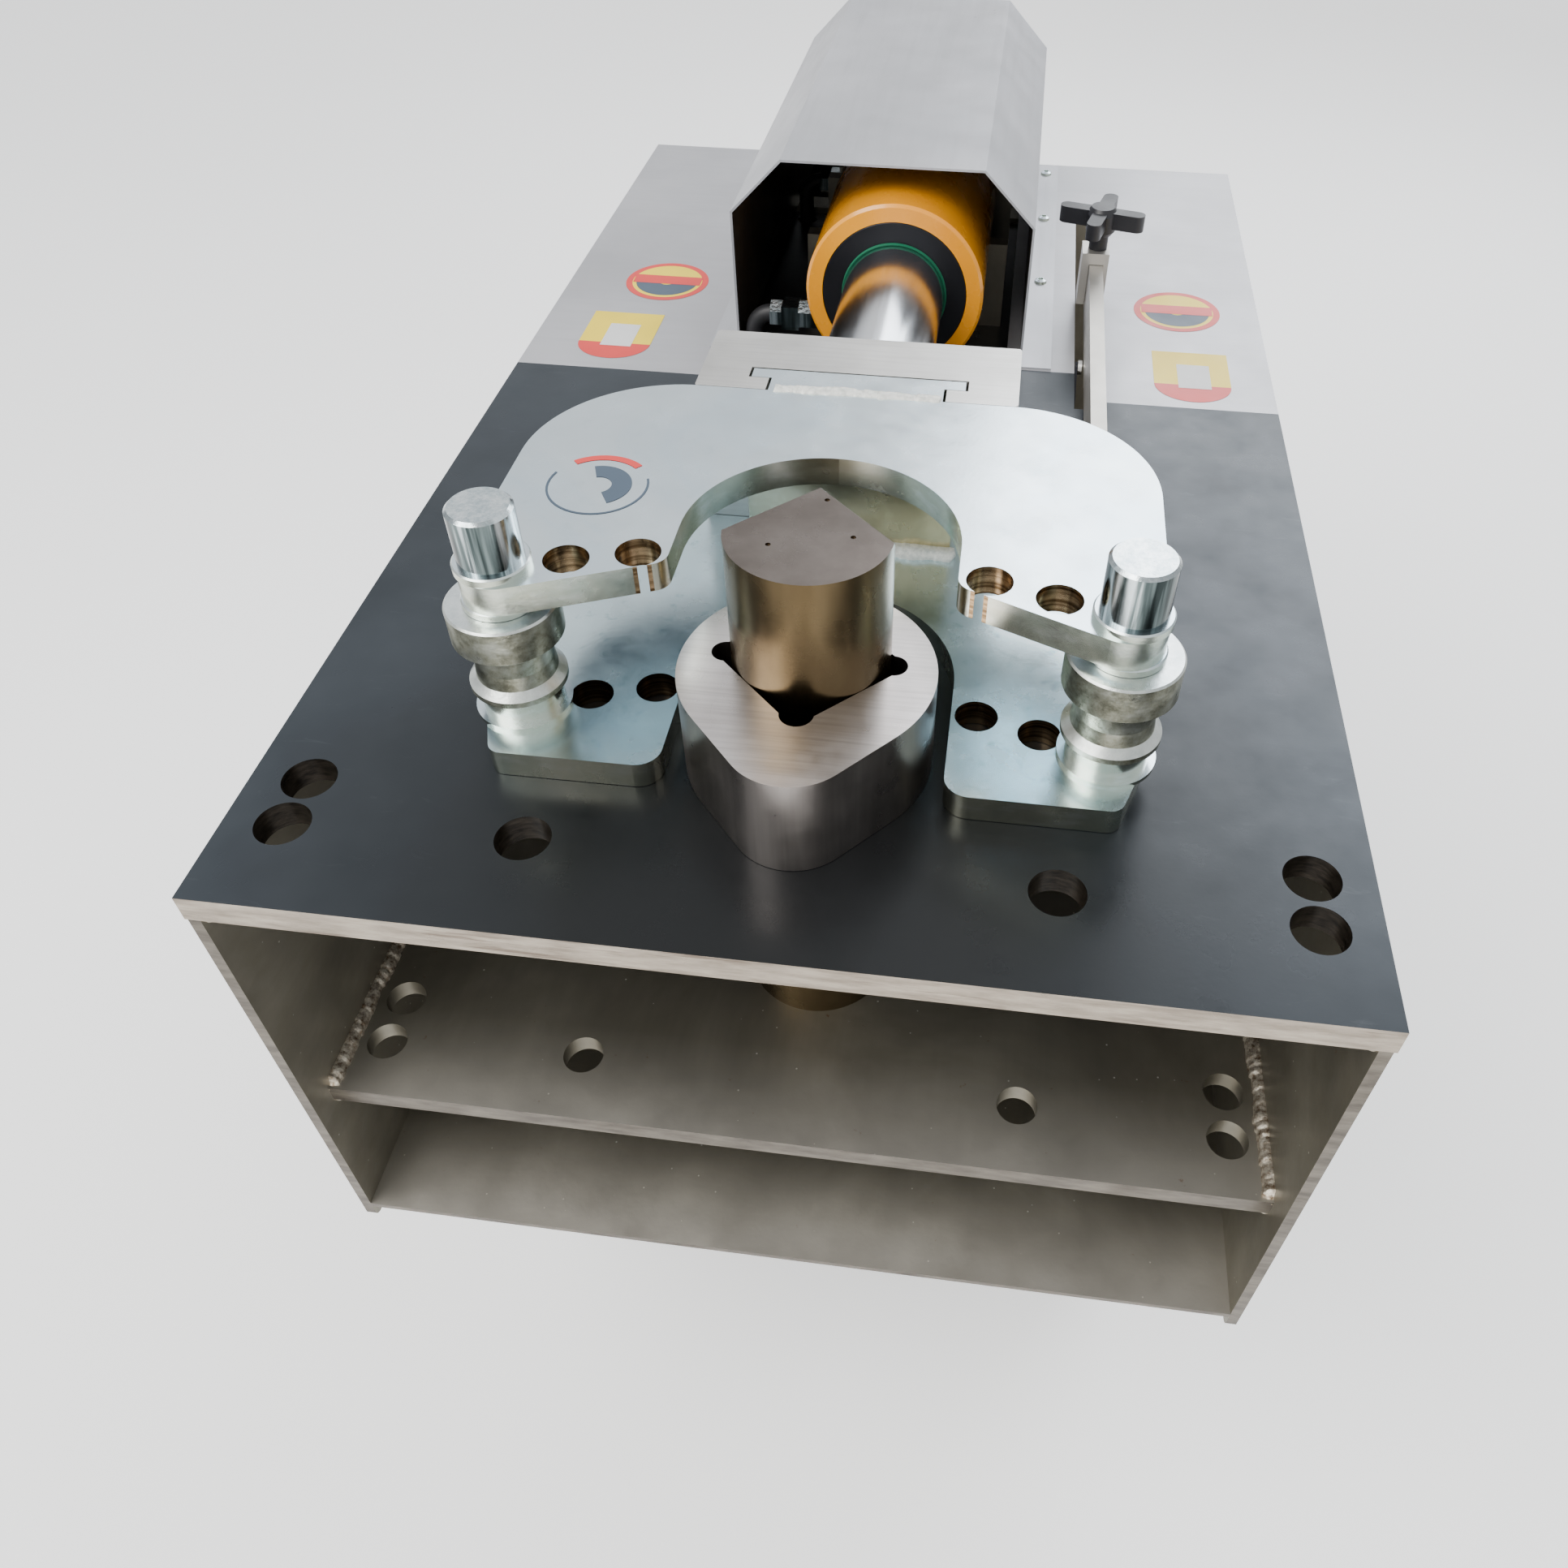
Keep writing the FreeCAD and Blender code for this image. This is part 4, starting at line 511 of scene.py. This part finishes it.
USES = {
    "table": ["top_plate"],
    "mill": ["mid_shelf", "bottom_plate", "side_plates", "rear_plate", "rear_bulkhead",
             "inner_beams", "cylinder_saddles"],
    "sheet": ["cover_left", "cover_right"],
    "hood": ["hood"],
    "zinc_upper": ["yoke_upper_plate", "yoke_tongue", "sheet_screws", "roller_spacers"],
    "zinc_web": ["yoke_web"],
    "zinc_lower": ["yoke_lower_plate"],
    "zinc_pin": ["roller_pin_left", "roller_pin_right", "port_elbows"],
    "roller": ["roller_left", "roller_right"],
    "ground": ["former"],
    "bronze": ["centre_post", "post_sleeve"],
    "machined": ["crosshead", "crosshead_keeper", "piston", "motor_shaft", "limit_roller"],
    "orange": ["cylinder_barrel", "cylinder_cap"],
    "gland": ["cylinder_gland"],
    "green": ["rod_wiper"],
    "chrome": ["piston_rod"],
    "rubber": ["oil_lines"],
    "plastic": ["stop_knob", "limit_switch", "filler_cap", "main_switch", "cable_glands"],
    "stop": ["trip_blade", "stop_block"],
    "dark": ["keeper_bolts", "cap_bolts", "limit_lever"],
    "stand": ["stand_legs", "foot_plates", "stand_rails", "pack_shelf"],
    "tray": ["cylinder_tray"],
    "tank": ["oil_tank", "tank_lid"],
    "motor": ["motor_body"],
    "cast": ["gear_pump"],
    "valve": ["valve_block"],
    "cabinet": ["control_cabinet", "cabinet_door"],
    "red": ["emergency_button"],
    "green_button": ["start_button"],
}
for key, names in USES.items():
    for name in names:
        for slot in NODES[name].material_slots:
            slot.material = MAT[key]

# Small broken edges on the machined and flame-cut pieces, in millimetres, on every corner
# sharper than the angle.
BROKEN_EDGES = {
    "top_plate": 0.8, "mid_shelf": 0.8, "bottom_plate": 0.6, "side_plates": 0.8,
    "yoke_upper_plate": 1.2, "yoke_lower_plate": 1.4, "former": 1.2, "centre_post": 0.7,
    "crosshead": 0.8, "roller_left": 0.5, "roller_right": 0.5, "trip_blade": 0.6,
    "stop_block": 0.8, "stop_knob": 1.6, "oil_tank": 1.0, "control_cabinet": 1.0,
    "cabinet_door": 1.0, "stand_legs": 2.0, "yoke_web": 0.6, "yoke_tongue": 0.6,
}
BROKEN_EDGE_ANGLE = 50
for name, width in BROKEN_EDGES.items():
    bevel = NODES[name].modifiers.new("edge", "BEVEL")
    bevel.width = width * MM
    bevel.segments = 2
    bevel.limit_method = "ANGLE"
    bevel.angle_limit = math.radians(BROKEN_EDGE_ANGLE)
    bevel.use_clamp_overlap = True


# ---------------------------------------------------------------- made pieces
def make(name, bm, materials, body, smooth):
    """Turn a bmesh into a piece that rides on a body, with its materials in slot order."""
    mesh = bpy.data.meshes.new(name)
    bm.to_mesh(mesh)
    bm.free()
    obj = bpy.data.objects.new(name, mesh)
    bpy.context.scene.collection.objects.link(obj)
    for item in materials:
        mesh.materials.append(MAT[item])
    for face in mesh.polygons:
        face.use_smooth = smooth
    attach(obj, body)
    return obj


RIPPLE_PITCH = 0.9            # distance between ripples, as a share of the bead's radius
RIPPLE_RINGS = 5              # rings of points to a ripple
RIPPLE_LEAN = 0.35            # how far the crown leads the foot, as a share of the pitch
RIPPLE_FLOOR, RIPPLE_RISE = 0.92, 0.10
BEAD_SIDES = 12
BEAD_END = 0.3                # the end rings shrink to this share
DRIFT, SWELL = 0.12, 0.2      # random steps sideways and in thickness, as shares of the radius
FIRST_SEED = 11


def weld_bead(name, start, end, radius, material, body, seed):
    """A rippled bead with a round crown, half sunk into the joint between start and end."""
    rng = random.Random(seed)
    a, b = P(*start), P(*end)
    along = (b - a).normalized()
    lift = Vector((0, 0, 1))
    across = along.cross(lift).normalized()
    length = (b - a).length
    pitch = radius * RIPPLE_PITCH * MM
    count = max(8, int(length / (pitch / RIPPLE_RINGS)))
    bm = bmesh.new()
    rings = []
    wander = 0.0
    swell = 1.0
    for i in range(count + 1):
        t = i / count
        phase = (t * length / pitch) % 1.0
        if i % RIPPLE_RINGS == 0:
            wander = 0.75 * wander + rng.uniform(-DRIFT, DRIFT)
            swell = 0.6 * swell + 0.4 * (1.0 + rng.uniform(-SWELL, SWELL))
        crown = RIPPLE_FLOOR + RIPPLE_RISE * math.sqrt(max(0.0, 1 - phase * phase))
        r = radius * MM * swell * crown
        if i in (0, count):
            r *= BEAD_END
        centre = a + along * (t * length) + across * (wander * radius * MM)
        ring = []
        for k in range(BEAD_SIDES):
            angle = 2 * math.pi * k / BEAD_SIDES
            offset = across * (r * math.cos(angle)) + lift * (r * math.sin(angle))
            lean = along * (pitch * RIPPLE_LEAN * math.sin(angle))
            ring.append(bm.verts.new(centre + offset + lean))
        rings.append(ring)
    for one, two in zip(rings, rings[1:]):
        for k in range(BEAD_SIDES):
            j = (k + 1) % BEAD_SIDES
            bm.faces.new((one[k], one[j], two[j], two[k]))
    bm.faces.new(list(reversed(rings[0])))
    bm.faces.new(rings[-1])
    return make(name, bm, [material], body, smooth=True)


def weld_lines():
    """Beads round the yoke's web and tongue, and along the shelf and table inside the bed."""
    beads = [
        ("weld_web_front", (-78, 364.0, 20.5), (78, 364.0, 20.5), 7.2, "weld_bright", "yoke"),
        ("weld_yoke_top", (-60, 396.5, 126.0), (60, 396.5, 126.0), 6.0, "weld_bright", "yoke"),
        ("weld_web_top", (-74, 364.0, 108.5), (74, 364.0, 108.5), 3.6, "weld_bright", "yoke"),
    ]
    for x, tag in ((-339.0, "left"), (339.0, "right")):
        for line, y0, y1, z, radius in (("shelf", 22, 618, -248.0, 7.0),
                                        ("shelf_under", 22, 618, -264.5, 4.0),
                                        ("table", 4, 636, -21.5, 4.5)):
            beads.append((f"weld_{line}_{tag}", (x, y0, z), (x, y1, z), radius, "weld_raw",
                          "frame"))
    for seed, (name, a, b, radius, material, body) in enumerate(beads, FIRST_SEED):
        bead = weld_bead(name, a, b, radius, material, body, seed)


weld_lines()


def flat_piece(name, rings, z, materials, body):
    """Nested flat outlines at height z; each zone between two outlines has its own material."""
    bm = bmesh.new()
    loops = [[bm.verts.new(P(x, y, z)) for x, y in ring] for ring in rings]
    for k, (outer, inner) in enumerate(zip(loops, loops[1:])):
        for i in range(len(outer)):
            j = (i + 1) % len(outer)
            bm.faces.new((outer[i], outer[j], inner[j], inner[i])).material_index = k
    bm.faces.new(loops[-1]).material_index = len(loops) - 1
    bmesh.ops.recalc_face_normals(bm, faces=bm.faces)
    make(name, bm, materials, body, smooth=False)


CIRCLE_SIDES = 72
FRONT_STEPS = 24
BAND_STEPS = 28


def circle(x, y, r):
    turns = [2 * math.pi * k / CIRCLE_SIDES for k in range(CIRCLE_SIDES)]
    return [(x + r * math.cos(a), y + r * math.sin(a)) for a in turns]


def rectangle(x0, x1, y0, y1):
    return [(x0, y0), (x1, y0), (x1, y1), (x0, y1)]


def round_front(x0, x1, y0, y1):
    """The front half of an ellipse, cut straight across at y1."""
    middle, half, depth = (x0 + x1) / 2, (x1 - x0) / 2, y1 - y0
    turns = [math.pi + math.pi * k / FRONT_STEPS for k in range(FRONT_STEPS + 1)]
    return [(middle + half * math.cos(a), y1 + depth * math.sin(a)) for a in turns]


def arc_band(x, y, r0, r1, a0, a1):
    """Outline of part of a flat ring, between the angles a0 and a1 in degrees."""
    turns = [math.radians(a0 + (a1 - a0) * k / BAND_STEPS) for k in range(BAND_STEPS + 1)]
    outer = [(x + r1 * math.cos(a), y + r1 * math.sin(a)) for a in turns]
    inner = [(x + r0 * math.cos(a), y + r0 * math.sin(a)) for a in reversed(turns)]
    return outer + inner


# Centres, sizes and heights of the marks, in bed millimetres. A mark that lies on another is
# a little higher.
DISC_MARKS = {"left": (-250, 826), "right": (270, 829)}
DISC_RADIUS, DISC_FIELD = 42.5, 36.0
PLATE_MARKS = {"left": (-270, 706), "right": (277, 698)}
BAR_HALF = 35
RING_MARK = (-149, 261)
MARK_Z, SHADE_Z, PATCH_Z, BAND_Z = 0.25, 0.35, 0.4, 0.45
RING_Z = 129.75


def stickers():
    """Plain coloured marks on the covers and the yoke, with no words and no symbols."""
    for tag, (x, y) in DISC_MARKS.items():
        flat_piece(f"disc_mark_{tag}", [circle(x, y, DISC_RADIUS), circle(x, y, DISC_FIELD)],
                   MARK_Z, ["decal_red", "yellow"], "frame")
        flat_piece(f"disc_shade_{tag}", [arc_band(x, y, 8, 32, 190, 350)],
                   SHADE_Z, ["decal_dark"], "frame")
        flat_piece(f"disc_band_{tag}", [rectangle(x - BAR_HALF, x + BAR_HALF, y - 6, y + 12)],
                   BAND_Z, ["decal_red"], "frame")
    for tag, (x, y) in PLATE_MARKS.items():
        flat_piece(f"plate_mark_{tag}", [rectangle(x - BAR_HALF, x + BAR_HALF, y - 16, y + 46)],
                   MARK_Z, ["yellow"], "frame")
        flat_piece(f"plate_end_{tag}", [round_front(x - BAR_HALF, x + BAR_HALF, y - 46, y - 16)],
                   MARK_Z, ["decal_red"], "frame")
        flat_piece(f"plate_patch_{tag}", [rectangle(x - 13, x + 17, y - 22, y + 22)],
                   PATCH_Z, ["decal_pale"], "frame")
    for name, material, band in (("ring_mark", "decal_dark", (31.5, 33.0, -200, 20)),
                                 ("ring_mark_red", "decal_red", (29.0, 34.5, 48, 132)),
                                 ("ring_mark_core", "decal_dark", (9.0, 22.0, -60, 110))):
        flat_piece(name, [arc_band(*RING_MARK, *band)], RING_Z, [material], "yoke")


stickers()


# ---------------------------------------------------------------- floor and light
FLOOR_SIZE = 14
FLOOR_GLOW = 0.55
HORIZON, ZENITH = (0.62, 0.63, 0.65, 1), (0.97, 0.99, 1.0, 1)
ZENITH_HEIGHT = 0.7
SKY_STRENGTH = 1.05

# Each lamp: where it is, what it points at, its width in metres, its power and its colour.
LAMPS = {
    "key": ((-1.6, -1.8, 3.6), (0, -0.3, 0.9), 2.2, 120, (1.0, 0.98, 0.95)),
    "rear": ((1.2, 2.6, 3.0), (0, 0, 0.9), 2.4, 90, (0.92, 0.96, 1.0)),
    "front": ((0.2, -3.2, 0.75), (0, -0.5, 0.62), 1.6, 40, (1.0, 0.97, 0.92)),
}


def floor():
    """A wide pale floor that glows a little, so that it stays bright away from the lamps."""
    bm = bmesh.new()
    bmesh.ops.create_grid(bm, x_segments=1, y_segments=1, size=FLOOR_SIZE)
    mesh = bpy.data.meshes.new("floor")
    bm.to_mesh(mesh)
    bm.free()
    obj = bpy.data.objects.new("floor", mesh)
    bpy.context.scene.collection.objects.link(obj)
    g = Graph("floor_pale", 0.0, 0.8)
    g.color(g.ramp(g.noise(0.8, 3, 0.5), (0.3, (0.90, 0.90, 0.90)), (0.7, (0.93, 0.93, 0.93))))
    g.put(g.bsdf.inputs["Emission Color"], (1.0, 1.0, 1.0))
    g.put(g.bsdf.inputs["Emission Strength"], FLOOR_GLOW)
    mesh.materials.append(g.mat)


def sky():
    """A soft gradient from the horizon to overhead."""
    world = bpy.data.worlds.new("studio")
    bpy.context.scene.world = world
    world.use_nodes = True
    nt = world.node_tree
    coord = nt.nodes.new("ShaderNodeTexCoord")
    split = nt.nodes.new("ShaderNodeSeparateXYZ")
    ramp = nt.nodes.new("ShaderNodeValToRGB")
    nt.links.new(coord.outputs["Generated"], split.inputs[0])
    nt.links.new(split.outputs["Z"], ramp.inputs["Fac"])
    low, high = ramp.color_ramp.elements
    low.position, low.color = 0.0, HORIZON
    high.position, high.color = ZENITH_HEIGHT, ZENITH
    background = nt.nodes["Background"]
    nt.links.new(ramp.outputs["Color"], background.inputs["Color"])
    background.inputs["Strength"].default_value = SKY_STRENGTH


def lamps():
    for name, (at, aim, size, power, tone) in LAMPS.items():
        data = bpy.data.lights.new(name, "AREA")
        data.size = size
        data.energy = power
        data.color = tone
        lamp = bpy.data.objects.new(name, data)
        bpy.context.scene.collection.objects.link(lamp)
        lamp.location = at
        facing = (Vector(aim) - Vector(at)).to_track_quat("-Z", "Y")
        lamp.rotation_euler = facing.to_euler()


floor()
sky()
lamps()
